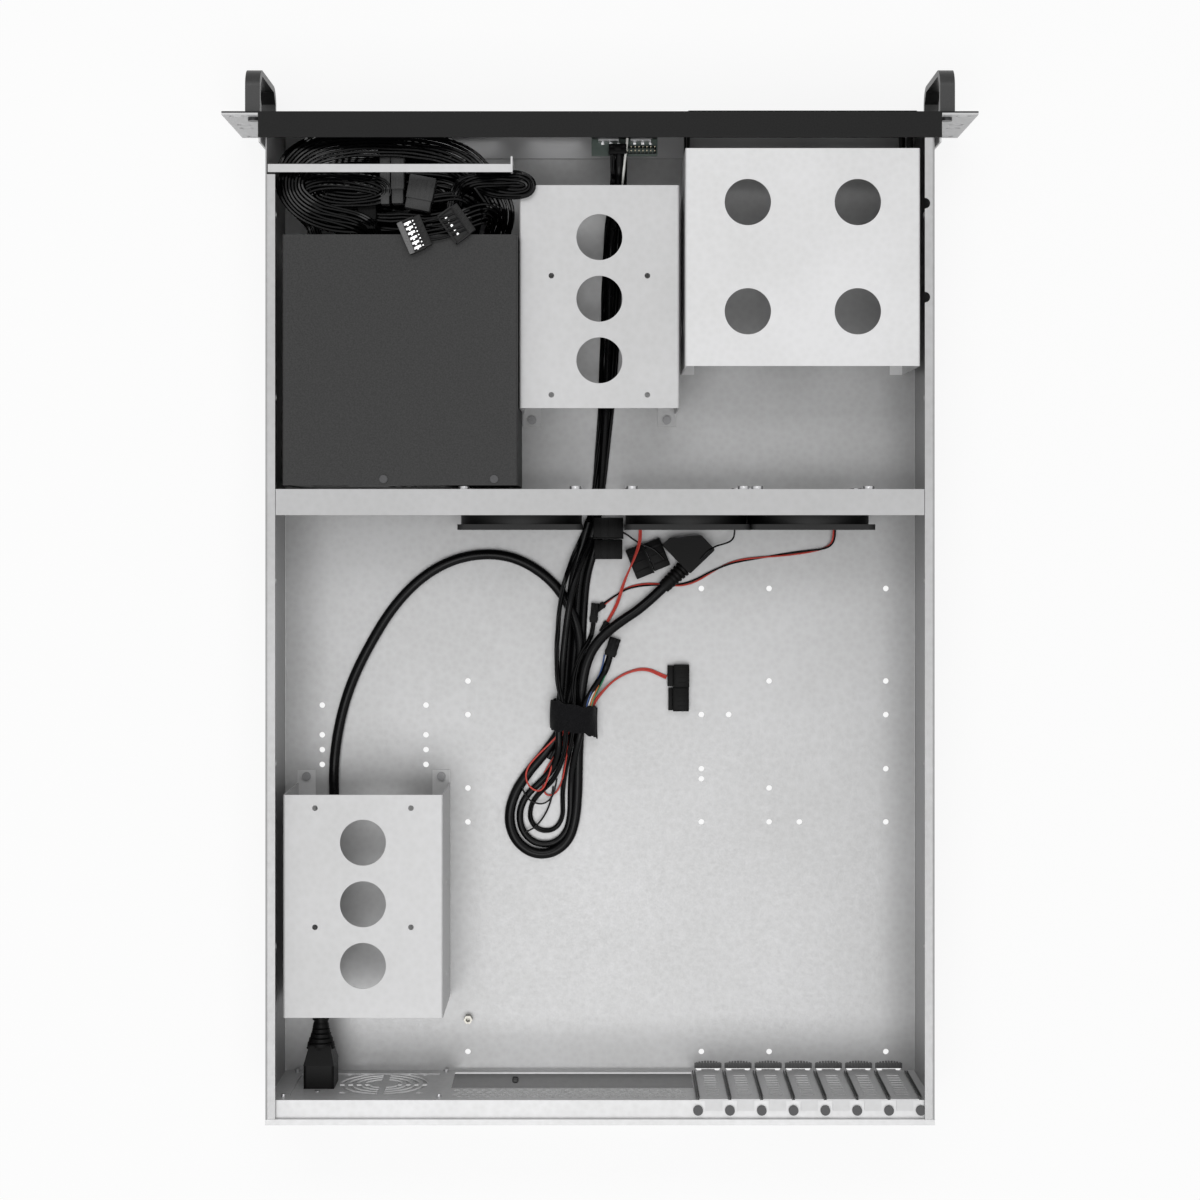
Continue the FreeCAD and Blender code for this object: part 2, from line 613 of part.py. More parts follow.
def io_board():
    """Printed board with its pin headers."""
    body = piece("io_board")
    front = FACE + " + panel_gauge + 1.2"
    level = "board_level + board_gauge"
    add(body, "board", "XY", "board_level", level, rectangle, "board_middle - board_width/2",
        "board_middle + board_width/2", front, FACE + " + 23")
    header = add(body, "pins", "XY", level, level + " + 8", rectangle, "board_middle - 18",
                 "board_middle - 17.3", FACE + " + 19.4", FACE + " + 20.1")
    row(body, "pin_row", header, "X", "2.54", 9)
    add(body, "pin_block", "XY", level, level + " + 2.5", rectangle, "board_middle - 19.2",
        "board_middle + 2", FACE + " + 18.5", FACE + " + 21")
    return body


def usb_ports():
    """Two shielded sockets standing on the board."""
    body = piece("usb_ports")
    level = "board_level + board_gauge"
    front = FACE + " + 0.2"
    for number, spot in enumerate(USB_SPOTS, 1):
        add(body, "shell_%d" % number, "XZ", front, FACE + " + 14", rectangle,
            "%s - 6.6" % spot, "%s + 6.6" % spot, level, level + " + 5.7")
        cut(body, "mouth_%d" % number, "XZ", front + " - 1", FACE + " + 9", rectangle,
            "%s - 6.1" % spot, "%s + 6.1" % spot, level + " + 0.5", level + " + 5.2")
        add(body, "tongue_%d" % number, "XZ", front + " + 0.8", FACE + " + 10", rectangle,
            "%s - 5.6" % spot, "%s + 5.6" % spot, level + " + 3.2", level + " + 5.0")
    return body


def button(name, across, cap):
    """Push button cap with the collar that keeps it behind the panel."""
    body = piece(name)
    back = FACE + " + panel_gauge"
    add(body, "cap", "XZ", FACE + " - 2", back + " + 4.2", circle, across, "button_height", cap)
    add(body, "collar", "XZ", back + " + 0.1", back + " + 1.3", circle, across, "button_height",
        cap + " + 1.2")
    return body


def button_switches():
    """Two small switches on a card behind the buttons."""
    body = piece("button_switches")
    back = FACE + " + panel_gauge"
    add(body, "card", "XZ", back + " + 10.5", back + " + 12.1", rectangle, "board_middle - 21",
        "board_middle + 21", "board_level + board_gauge + 5.7", "button_height + 8")
    for number, spot in enumerate((POWER_SPOT, RESET_SPOT), 1):
        add(body, "switch_%d" % number, "XZ", back + " + 5.8", back + " + 10.5", rectangle,
            spot + " - 3", spot + " + 3", "button_height - 3", "button_height + 3")
    return body


def status_leds():
    """Three indicator lamps."""
    group = []
    for number, spot in enumerate(LAMP_SPOTS, 1):
        lamp = doc.addObject("Part::Cylinder", "lamp_%d" % number)
        lamp.Radius = 1.5
        tie(lamp, "Height", "panel_gauge + 11.1")
        lamp.Placement.Rotation = FreeCAD.Rotation(Vector(0, 0, 1), Vector(0, 1, 0))
        tie(lamp, "Placement.Base.x", spot)
        tie(lamp, "Placement.Base.y", FACE + " - 0.6")
        tie(lamp, "Placement.Base.z", LAMP_HEIGHT)
        group.append(lamp)
    lamps = doc.addObject("Part::Compound", "status_leds")
    lamps.Label = "status_leds"
    lamps.Links = group
    return lamps


# ---------------------------------------------------------------- rear wall and inlet plate

def rear_panel():
    """Rear wall: foot, wall, ledge for the slot covers, and a raised lip."""
    body = piece("rear_panel")
    inside = BETWEEN
    outer = WALL + " + tray_gauge"
    lip = REAR + " - rear_lip"
    section = [(WALL, "tray_gauge"), (WALL + " + 12", "tray_gauge"),
               (WALL + " + 12", "2*tray_gauge"), (outer, "2*tray_gauge"),
               (outer, "ledge_height - tray_gauge"), (lip + " + tray_gauge", "ledge_height - tray_gauge"),
               (lip + " + tray_gauge", TOP), (lip, TOP), (lip, "ledge_height"), (WALL, "ledge_height")]
    add(body, "fold", "YZ", "-(%s)" % inside, inside, polygon, section)
    add(body, "lip", "XY", TOP + " - tray_gauge", TOP, rectangle, "-" + HALF, HALF,
        lip + " + 0.1", REAR)
    cut(body, "corner_left", "XY", "ledge_height + 0.4", TOP + " + 1", rectangle,
        HALF + " - tray_lip - 0.4", HALF + " + 1", WALL + " - 1", lip + " + 0.1")
    cut(body, "corner_right", "XY", "ledge_height + 0.4", TOP + " + 1", rectangle,
        "-%s - 1" % HALF, "tray_lip + 0.4 - " + HALF, WALL + " - 1", lip + " + 0.1")
    front = WALL + " - 1"
    back = outer + " + 1"
    cut(body, "connector_window", "XZ", front, back, rectangle, "window_left - window_width",
        "window_left", "window_low", "window_low + window_height")
    low = "window_low + window_height + 5.5"
    vents = [("window_left - 4 - vent_pitch/2*%d" % (number % 2),
              "%s + %d*vent_pitch" % (low, number)) for number in range(4)]
    column = cut(body, "vent_column", "XZ", front, back, circles, vents, "vent_radius")
    row(body, "vent_strip", column, "X", "-vent_pitch", 25)
    slot = cut(body, "card_slot", "XZ", front, back, rectangle, "slot_first - slot_open/2",
               "slot_first + slot_open/2", "slot_low", "ledge_height - tray_gauge - 4")
    row(body, "card_slots", slot, "X", "-slot_pitch", 7)
    cut(body, "plate_opening", "XZ", front, back, rectangle, "plate_right + plate_border",
        "plate_left - plate_border", "plate_low + plate_border", "plate_high - plate_border")
    cut(body, "plate_screw_holes", "XZ", front, back, circles, plate_screw_spots(), "1.6")
    ledge = [("slot_first + slot_pitch/2 - %d*slot_pitch" % number, SLOT_SCREW_ROW)
             for number in range(8)]
    cut(body, "ledge_holes", "XY", "ledge_height - tray_gauge - 1", "ledge_height + 1", circles,
        ledge, "1.6")
    return body


SLOT_SCREW_ROW = WALL + " + 6.4"


def plate_screw_spots():
    """The inlet plate's four corner screws."""
    return [(across, up) for across in ("plate_right + 3.5", "plate_left - 3.5")
            for up in ("plate_low + 3.5", "plate_high - 3.5")]


def rear_plate():
    """Screwed-on plate with the mains inlet's cut-out and a punched ring grille."""
    body = piece("rear_plate")
    front = WALL + " + tray_gauge"
    back = front + " + tray_gauge"
    add(body, "sheet", "XZ", front, back, rectangle, "plate_right", "plate_left",
        "plate_low", "plate_high")
    cut(body, "inlet_opening", "XZ", front + " - 1", back + " + 1", rectangle,
        "inlet_place - 10.2", "inlet_place + 10.2", "inlet_height - 14", "inlet_height + 14")
    for number in range(4):
        outer = "grille_radius - %d*(grille_slot + grille_web)" % number
        cut(body, "ring_%d" % number, "XZ", front + " - 1", back + " + 1", ring,
            "grille_place", "grille_height", outer, outer + " - grille_slot")
    spoke = "grille_web"
    reach = "grille_radius + 0.5"
    for name, half_across, half_up in (("level", reach, spoke), ("upright", spoke, reach)):
        add(body, "spoke_" + name, "XZ", front, back, rectangle,
            "grille_place - (%s)" % half_across, "grille_place + %s" % half_across,
            "grille_height - (%s)" % half_up, "grille_height + %s" % half_up)
    square = [("grille_place %s grille_screw" % a, "grille_height %s grille_screw" % b)
              for a in "+-" for b in "+-"]
    cut(body, "fan_holes", "XZ", front + " - 1", back + " + 1", circles, square, "2.1")
    ears = [("inlet_place", "inlet_height %s 20" % sign) for sign in "-+"]
    cut(body, "screw_holes", "XZ", front + " - 1", back + " + 1", circles,
        plate_screw_spots() + ears, "1.6")
    return body


def plate_screws():
    """Screws of the inlet plate and of the inlet's flange, driven from outside."""
    back = WALL + " + 2*tray_gauge"
    spots = [(across, back, up) for across, up in plate_screw_spots()]
    spots += [("inlet_place", back + " + 2.5", "inlet_height %s 20" % sign) for sign in "+-"]
    return screws("plate_screws", spots, "+Y", "2.7", "1.8", "1.45", "4")


def power_inlet():
    """Moulded mains inlet: flange outside, body through the plate, strain relief inside."""
    body = piece("power_inlet")
    plate = WALL + " + 2*tray_gauge"
    flange = add(body, "flange", "XZ", plate, plate + " + 2.5", rectangle, "inlet_place - 11.2",
                 "inlet_place + 11.2", "inlet_height - 25", "inlet_height + 25")
    soften(body, "flange_corners", flange, (0, 1, 2, 3), "6")
    core = add(body, "core", "XZ", WALL + " - 14", plate + " + 0.5", rectangle,
               "inlet_place - 10", "inlet_place + 10", "inlet_height - 13.8", "inlet_height + 13.8")
    soften(body, "core_corners", core, (0, 1, 2, 3), "2")
    cut(body, "socket", "XZ", plate + " - 14", plate + " + 3", rectangle, "inlet_place - 8",
        "inlet_place + 8", "inlet_height - 12", "inlet_height + 12")
    for number, (x, z) in enumerate(((0, 7), (3.2, 0), (0, -7)), 1):
        add(body, "pin_%d" % number, "XZ", plate + " - 14.5", plate + " - 1", rectangle,
            "inlet_place + %s - 1" % x, "inlet_place + %s + 1" % x,
            "inlet_height + %s - 2" % z, "inlet_height + %s + 2" % z)
    holes = [("inlet_place", "inlet_height %s 20" % sign) for sign in "+-"]
    cut(body, "flange_holes", "XZ", plate + " - 1", plate + " + 3", circles, holes, "1.6")
    wide = start_sketch(body, "back_wide", "XZ", "-(%s - 14)" % WALL)
    rectangle(wide, "inlet_place - 10", "inlet_place + 10", "inlet_height - 13.8", "inlet_height + 13.8")
    narrow = start_sketch(body, "back_narrow", "XZ", "-(%s - 26)" % WALL)
    rectangle(narrow, "inlet_place - 7", "inlet_place + 7", "inlet_height - 8", "inlet_height + 8")
    hood = body.newObject("PartDesign::AdditiveLoft", "hood")
    hood.Profile = wide
    hood.Sections = [narrow]
    add(body, "relief", "XZ", WALL + " - 44", WALL + " - 26", circle, "inlet_place",
        "inlet_height", "4.6")
    return body


def slot_cover(number):
    """Ventilated blank for one expansion slot: tongue below, tab bent over the ledge."""
    body = piece("slot_cover_%d" % number)
    middle = "slot_first - %d*slot_pitch" % (number - 1)
    inner = WALL + " - slot_cover_gauge"
    top = "ledge_height + slot_cover_gauge"
    outline = [("-slot_cover_width/2", "12"), ("-4.5", "4"), ("-4.5", "0.3"), ("4.5", "0.3"),
               ("4.5", "4"), ("slot_cover_width/2", "12"), ("slot_cover_width/2", top),
               ("-slot_cover_width/2", top)]
    add(body, "blade", "XZ", "-slot_cover_gauge", "0", polygon, outline)
    add(body, "tab", "XY", "ledge_height", top, rectangle, "-slot_tab/2", "slot_tab/2",
        "-slot_cover_gauge", "slot_tab_reach")
    slit = cut(body, "slit", "XZ", "-slot_cover_gauge - 1", "1", stadium, "0", "20", "6.4", "1.3")
    row(body, "slits", slit, "Z", "6.6", 9)
    place(body, middle, WALL)
    return body


def slot_screws():
    """Screws along the ledge between the slot covers."""
    spots = [("slot_first + slot_pitch/2 - %d*slot_pitch" % number, SLOT_SCREW_ROW, "ledge_height")
             for number in range(8)]
    return screws("slot_screws", spots, "+Z", "3.1", "2.0", "1.45", "4.5")


# ---------------------------------------------------------------- fan wall and fans

def fan_screw_spots():
    """Each fan's four screws, in the plane of the fan wall."""
    return [("%s %s fan_screw_place" % (middle, a), "%s %s fan_screw_place" % (FAN_MIDDLE, b))
            for middle in FAN_PLACES for a in "+-" for b in "+-"]


def fan_wall():
    """Cross-beam with the fan openings, a window behind the power supply and a cable gap."""
    body = piece("fan_wall")
    inside = BETWEEN
    back = BEAM + " + tray_gauge"
    section = [(BEAM, "tray_gauge"), (BEAM + " + 12", "tray_gauge"),
               (BEAM + " + 12", "2*tray_gauge"), (back, "2*tray_gauge"),
               (back, TOP + " - tray_gauge"), (BEAM + " + beam_flange", TOP + " - tray_gauge"),
               (BEAM + " + beam_flange", TOP), (BEAM, TOP)]
    add(body, "fold", "YZ", "-(%s)" % inside, inside, polygon, section)
    for name, low, high in (("left", HALF + " - tray_lip - 0.4", HALF + " + 1"),
                            ("right", "-%s - 1" % HALF, "tray_lip + 0.4 - " + HALF)):
        cut(body, "lip_notch_" + name, "XY", TOP + " - tray_gauge - 0.4", TOP + " + 1", rectangle,
            low, high, BEAM + " - 1", BEAM + " + beam_flange + 1")
        cut(body, "foot_notch_" + name, "XY", "tray_gauge - 1", "2*tray_gauge + 0.4", rectangle,
            low, high, BEAM + " - 1", BEAM + " + 13")
    openings = [("%s" % middle, FAN_MIDDLE) for middle in FAN_PLACES]
    cut(body, "fan_openings", "XZ", BEAM + " - 1", back + " + 1", circles, openings, "fan_bore")
    cut(body, "fan_holes", "XZ", BEAM + " - 1", back + " + 1", circles, fan_screw_spots(), "2.2")
    cut(body, "supply_window", "XZ", BEAM + " - 1", back + " + 1", rectangle,
        "supply_left - supply_width/2 - 28", "supply_left - 5", "beam_window_low", TOP + " - 8")
    cut(body, "cable_gap", "XZ", BEAM + " - 1", back + " + 1", rectangle,
        "cable_gap_place - cable_gap/2", "cable_gap_place + cable_gap/2", "2*tray_gauge + 1", "62")
    cut(body, "cable_gap_foot", "XY", "tray_gauge - 1", "2*tray_gauge + 2", rectangle,
        "cable_gap_place - cable_gap/2", "cable_gap_place + cable_gap/2", BEAM + " - 1", BEAM + " + 13")
    return body


def fan_frame(number):
    """Moulded fan frame: two square flanges, a round duct, and the motor's spider."""
    body = piece("fan_frame_%d" % number)
    half = "fan_size/2"
    block = add(body, "block", "XZ", "0", "fan_depth", rectangle, "-" + half, half, "-" + half, half)
    soften(body, "corners", block, (0, 1, 2, 3), "4.5")
    spots = [("%sfan_screw_place" % a, "%sfan_screw_place" % b) for a in ("", "-") for b in ("", "-")]
    cut(body, "duct", "XZ", "-1", "fan_depth + 1", circle, "0", "0", "fan_bore")

    def outside(sketch):
        rectangle(sketch, "-fan_size", "fan_size", "-fan_size", "fan_size")
        circle(sketch, "0", "0", "fan_barrel")

    cut(body, "waist", "XZ", "fan_flange", "fan_depth - fan_flange", outside)
    cut(body, "screw_holes", "XZ", "-1", "fan_depth + 1", circles, spots, "2.2")
    add(body, "motor_base", "XZ", "fan_depth - 4", "fan_depth", circle, "0", "0", "hub_radius + 1.5")
    rib = "fan_bore + 0.8"
    add(body, "rib_level", "XZ", "fan_depth - 3", "fan_depth", rectangle, "-(%s)" % rib, rib,
        "-1.6", "1.6")
    add(body, "rib_upright", "XZ", "fan_depth - 3", "fan_depth", rectangle, "-1.6", "1.6",
        "-(%s)" % rib, rib)
    cut(body, "bearing", "XZ", "fan_depth - 5", "fan_depth - 0.8", circle, "0", "0",
        "shaft_radius + shaft_play")
    place(body, FAN_PLACES[number - 1], BEAM + " + tray_gauge", FAN_MIDDLE)
    return body


def blade_section(body, name, radius, front, back, sweep):
    """Thin cambered section of a fan blade on a plane at one radius from the axis."""
    sketch = start_sketch(body, name, "YZ", radius)
    middle = "(%s + %s)/2" % (front, back)
    near = [(front, "-(%s)" % sweep), (middle, "1.8"), (back, sweep)]
    far = [("%s + blade_gauge" % across, up) for across, up in reversed(near)]
    polygon(sketch, near + far)
    return sketch


def fan_rotor(number):
    """Hub cup with seven twisted blades and its shaft."""
    body = piece("fan_rotor_%d" % number)
    back = "fan_depth - 4.6"
    root = blade_section(body, "root", "hub_radius - 1.5", "3", back + " - 2.6", "5.5")
    tip = blade_section(body, "tip", "blade_radius + 1.5", "5", back + " - 4.6", "13")
    blade = body.newObject("PartDesign::AdditiveLoft", "blade")
    blade.Profile = root
    blade.Sections = [tip]
    blades = body.newObject("PartDesign::PolarPattern", "blades")
    blades.Originals = [blade]
    blades.Axis = (reference(body, "Y_Axis"), [""])
    blades.Angle = 360
    blades.Occurrences = 7
    body.Tip = blades
    hub = add(body, "hub", "XZ", "1.5", back, circle, "0", "0", "hub_radius")

    def beyond(sketch):
        circle(sketch, "0", "0", "blade_radius + 12")
        circle(sketch, "0", "0", "blade_radius")

    cut(body, "tips", "XZ", "0", "fan_depth", beyond)
    add(body, "shaft", "XZ", back, "fan_depth - 1.2", circle, "0", "0", "shaft_radius")
    place(body, FAN_PLACES[number - 1], BEAM + " + tray_gauge", FAN_MIDDLE)
    return body


def fan_screws():
    """Twelve screws through the fan wall into the fans."""
    spots = [(across, BEAM, up) for across, up in fan_screw_spots()]
    return screws("fan_screws", spots, "-Y", "3.6", "2.0", "2.0", "4.0")


# ---------------------------------------------------------------- cages

def drive_cage(name, flip):
    """Inverted channel with turned-in feet; the feet run on past the top plate as toes."""
    body = piece(name)
    half = "cage_width/2"
    inner = "(%s - cage_gauge)" % half
    foot = "(%s - cage_foot)" % half
    low = "tray_gauge"
    right = [(foot, low), (half, low), (half, "cage_height"), ]
    left = [("-" + half, "cage_height"), ("-" + half, low), ("-" + foot, low),
            ("-" + foot, low + " + cage_gauge"), ("-" + inner, low + " + cage_gauge"),
            ("-" + inner, "cage_height - cage_gauge"), (inner, "cage_height - cage_gauge"),
            (inner, low + " + cage_gauge"), (foot, low + " + cage_gauge")]
    fold = add(body, "fold", "XZ", "-cage_toe", "cage_length", polygon, right + left)
    soften(body, "bends", fold, (1, 2, 3, 4), "bend + cage_gauge")
    cut(body, "toe_relief", "YZ", "-%s - 1" % half, half + " + 1", rectangle, "-cage_toe - 1", "0",
        low + " + cage_gauge + 0.9", "cage_height + 1")
    big = cut(body, "large_hole", "XY", "cage_height - cage_gauge - 1", "cage_height + 1", circle,
              "0", "30.7", "cage_hole")
    row(body, "large_holes", big, "Y", "39.6", 3)
    small = [("%s30.86" % a, b) for a in ("", "-") for b in ("8.5", "85.1")]
    cut(body, "small_holes", "XY", "cage_height - cage_gauge - 1", "cage_height + 1", circles,
        small, "1.8")
    for number, height in enumerate((14.0, 44.0), 1):
        sides = [(back, str(height)) for back in ("20", "61.2", "121.6")]
        cut(body, "drive_holes_%d" % number, "YZ", "-%s - 1" % half, half + " + 1", circles, sides, "1.9")
    feet = [("%s(%s - cage_foot/2)" % (a, half), b) for a in ("", "-")
            for b in ("-cage_toe/2", "cage_length - 12")]
    cut(body, "foot_holes", "XY", low + " - 1", low + " + cage_gauge + 1", circles, feet, "1.9")
    if flip:
        body.Placement.Rotation = FreeCAD.Rotation(Vector(0, 0, 1), 180)
    return body


def drive_cages():
    """The same cage twice: its toes face the fans from the front and from the rear."""
    front = drive_cage("drive_cage_front", True)
    place(front, "0.4", "%s + front_cage_place + cage_length" % FACE)
    rear = drive_cage("drive_cage_rear", False)
    place(rear, "rear_cage_middle", "%s - rear_cage_place + cage_toe" % REAR)
    return [front, rear]


def bay_cage():
    """Shell for two full-size drives behind the bay covers."""
    body = piece("bay_cage")
    half = "bay_width/2"
    inner = "(%s - cage_gauge)" % half
    foot = "(%s - 9)" % half
    low = "(tray_gauge)"
    outline = [(foot, low), (half, low), (half, "bay_top"), ("-" + half, "bay_top"),
               ("-" + half, low), ("-" + foot, low), ("-" + foot, low + " + cage_gauge"),
               ("-" + inner, low + " + cage_gauge"), ("-" + inner, "bay_top - cage_gauge"),
               (inner, "bay_top - cage_gauge"), (inner, low + " + cage_gauge"),
               (foot, low + " + cage_gauge")]
    fold = add(body, "fold", "XZ", "0", "bay_length", polygon, outline)
    soften(body, "bends", fold, (1, 2, 3, 4), "bend + cage_gauge")
    tops = [("%s35.1" % a, b) for a in ("", "-") for b in ("34.4", "104.1")]
    cut(body, "large_holes", "XY", "bay_top - cage_gauge - 1", "bay_top + 1", circles, tops,
        "cage_hole")
    for number in (0, 1):
        height = "bay_cover_low + %d*bay_cover_height + 10" % number
        slots = cut(body, "drive_slot_%d" % number, "YZ", "-%s - 1" % half, half + " + 1", stadium,
                    "bay_slot_place", height, "6", "1.9")
        row(body, "drive_slots_%d" % number, slots, "Y", "79.2", 2)
    feet = [("%s(%s - 4.5)" % (a, half), b) for a in ("", "-") for b in ("14", "bay_length - 14")]
    cut(body, "foot_holes", "XY", low + " - 1", low + " + cage_gauge + 1", circles, feet, "1.9")
    place(body, "bay_left - bay_width/2", FACE + " + bay_place")
    return body


def cage_screws():
    """Screws through the feet of the three cages."""
    level = "tray_gauge + cage_gauge"
    side = "(cage_width/2 - cage_foot/2)"
    front = "%s + front_cage_place + cage_length + cage_toe/2" % FACE
    rear = "%s - rear_cage_place + cage_toe/2" % REAR
    spots = [("0.4 %s %s" % (sign, side), front, level) for sign in "+-"]
    spots += [("rear_cage_middle %s %s" % (sign, side), rear, level) for sign in "+-"]
    middle = "bay_left - bay_width/2"
    spots += [("%s %s (bay_width/2 - 4.5)" % (middle, sign), "%s + bay_place + %s" % (FACE, back), level)
              for sign in "+-" for back in ("14", "bay_length - 14")]
    return screws("cage_screws", spots, "+Z", "2.9", "1.7", "1.7", "cage_gauge")


def board_standoff():
    """Hexagonal spacer screwed to the floor."""
    spacer = doc.addObject("Part::Prism", "standoff_hexagon")
    spacer.Polygon = 6
    tie(spacer, "Circumradius", "3.0")
    tie(spacer, "Height", "6.5")
    tie(spacer, "Placement.Base.x", "board_left - 0.4")
    tie(spacer, "Placement.Base.y", REAR + " - board_rear - 22.7")
    tie(spacer, "Placement.Base.z", "tray_gauge")
    thread = doc.addObject("Part::Cylinder", "standoff_bore")
    tie(thread, "Radius", "1.5")
    tie(thread, "Height", "6")
    tie(thread, "Placement.Base.x", "board_left - 0.4")
    tie(thread, "Placement.Base.y", REAR + " - board_rear - 22.7")
    tie(thread, "Placement.Base.z", "tray_gauge + 2.5")
    standoff = doc.addObject("Part::Cut", "board_standoff")
    standoff.Label = "board_standoff"
    standoff.Base = spacer
    standoff.Tool = thread
    return standoff


# ---------------------------------------------------------------- power supply

SUPPLY_REAR = "(%s - supply_gap)" % BEAM
SUPPLY_FRONT = "(%s - supply_length)" % SUPPLY_REAR
SUPPLY_RIGHT = "(supply_left - supply_width)"
SUPPLY_TOP = "(tray_gauge + supply_height)"


def psu_housing():
    """Closed sheet housing: lapped cover seams, rear grille and inlet recess, cable exit."""
    body = piece("psu_housing")
    box = add(body, "box", "XZ", SUPPLY_FRONT, SUPPLY_REAR, rectangle, SUPPLY_RIGHT, "supply_left",
              "tray_gauge", SUPPLY_TOP)
    soften(body, "folds", box, (2, 3), "1.2")
    for number in range(5):
        outer = "36 - %d*7" % number
        cut(body, "grille_%d" % number, "XZ", SUPPLY_REAR + " - 3", SUPPLY_REAR + " + 1", ring,
            SUPPLY_RIGHT + " + 50", "tray_gauge + 43", outer, outer + " - 4.4")
    cut(body, "inlet_recess", "XZ", SUPPLY_REAR + " - 12", SUPPLY_REAR + " + 1", rectangle,
        "supply_left - 42", "supply_left - 14", "tray_gauge + 52", "tray_gauge + 72")
    slit = cut(body, "front_slit", "XZ", SUPPLY_FRONT + " - 1", SUPPLY_FRONT + " + 3", rectangle,
               SUPPLY_RIGHT + " + 20", SUPPLY_RIGHT + " + 90", "tray_gauge + 12", "tray_gauge + 15")
    row(body, "front_slits", slit, "Z", "7", 9)
    cut(body, "cable_exit", "XZ", SUPPLY_FRONT + " - 1", SUPPLY_FRONT + " + 8", circle,
        "supply_left - 28", "tray_gauge + 40", "13")
    cut(body, "screw_holes", "XZ", SUPPLY_REAR + " - 6", SUPPLY_REAR + " + 1", circles,
        [(SUPPLY_RIGHT + " + 6", "tray_gauge + 6"), ("supply_left - 6", "tray_gauge + 6")], "1.6")
    return body


def psu_inlet():
    """Mains inlet at the back of the power supply."""
    body = piece("psu_inlet")
    back = SUPPLY_REAR
    add(body, "shell", "XZ", back + " - 12", back, rectangle, "supply_left - 42",
        "supply_left - 14", "tray_gauge + 52", "tray_gauge + 72")
    cut(body, "socket", "XZ", back + " - 10", back + " + 1", rectangle, "supply_left - 40",
        "supply_left - 16", "tray_gauge + 54", "tray_gauge + 70")
    for number, (x, z) in enumerate(((-7, 60), (0, 64), (7, 60)), 1):
        add(body, "pin_%d" % number, "XZ", back + " - 10.5", back + " - 1", rectangle,
            "supply_left - 28 + %s - 2" % x, "supply_left - 28 + %s + 2" % x,
            "tray_gauge + %s - 1" % z, "tray_gauge + %s + 1" % z)
    return body


def psu_screws():
    """Cover screws on top of the power supply."""
    spots = [(SUPPLY_RIGHT + " + 15", SUPPLY_REAR + " - 4", SUPPLY_TOP),
             ("supply_left - 64.5", SUPPLY_REAR + " - 4", SUPPLY_TOP)]
    heads = []
    for number, (x, y, z) in enumerate(spots, 1):
        head = doc.addObject("Part::Cylinder", "cover_screw_%d" % number)
        tie(head, "Radius", "2.6")
        tie(head, "Height", "0.9")
        tie(head, "Placement.Base.x", x)
        tie(head, "Placement.Base.y", y)
        tie(head, "Placement.Base.z", z)
        heads.append(head)
    group = doc.addObject("Part::Compound", "psu_screws")
    group.Label = "psu_screws"
    group.Links = heads
    return group


def psu_rail():
    """Retaining rail in front of the power supply, hooked to the side wall."""
    body = piece("psu_rail")
    front = FACE + " + rail_place"
    section = [(front, TOP + " - 14"), (front + " + 1", TOP + " - 14"),
               (front + " + 1", TOP + " - 1"), (front + " + rail_width", TOP + " - 1"),
               (front + " + rail_width", TOP), (front, TOP)]
    add(body, "rail", "YZ", "rail_end", BETWEEN, polygon, section)
    add(body, "leg", "YZ", "rail_end", "rail_end + 1.2", rectangle,
        front + " - 5", front + " + rail_width", "tray_gauge", TOP)
    return body


# ---------------------------------------------------------------- cords

def label_feature(name, shape):
    """Keep a computed shape as a named sub-part."""
    feature = doc.addObject("Part::Feature", name)
    feature.Label = name
    feature.Shape = shape
    return feature


def tube(name, radius, points):
    """A round cord along straight runs that are joined by tangent arcs."""
    corners = [Vector(*point) for point in points]
    edges = []
    here = corners[0]
    radii = []
    for before, corner, after in zip(corners, corners[1:], corners[2:]):
        way_in = (corner - before).normalize()
        way_out = (after - corner).normalize()
        turn = way_in.getAngle(way_out)
        shorter = min((corner - before).Length, (after - corner).Length)
        reach = 0.45 * shorter
        start = corner - way_in * reach
        end = corner + way_out * reach
        bisector = (way_out - way_in).normalize()
        arc_radius = reach / math.tan(turn / 2)
        centre = corner + bisector * (arc_radius / math.cos(turn / 2))
        middle = centre - bisector * arc_radius
        edges.append(Part.LineSegment(here, start).toShape())
        edges.append(Part.Arc(start, middle, end).toShape())
        radii.append(round(arc_radius, 1))
        here = end
    edges.append(Part.LineSegment(here, corners[-1]).toShape())
    path = Part.Wire(edges)
    first = (corners[1] - corners[0]).normalize()
    section = Part.Wire(Part.Circle(corners[0], first, radius).toShape())
    solid = path.makePipeShell([section], True, False)
    expected = math.pi * radius ** 2 * path.Length
    print("cord", name, "length %.0f" % path.Length, "volume ratio %.4f" % (solid.Volume / expected),
          "tightest %.1f" % min(radii), "in diameters %.1f" % (min(radii) / radius / 2), radii)
    return label_feature(name, solid)


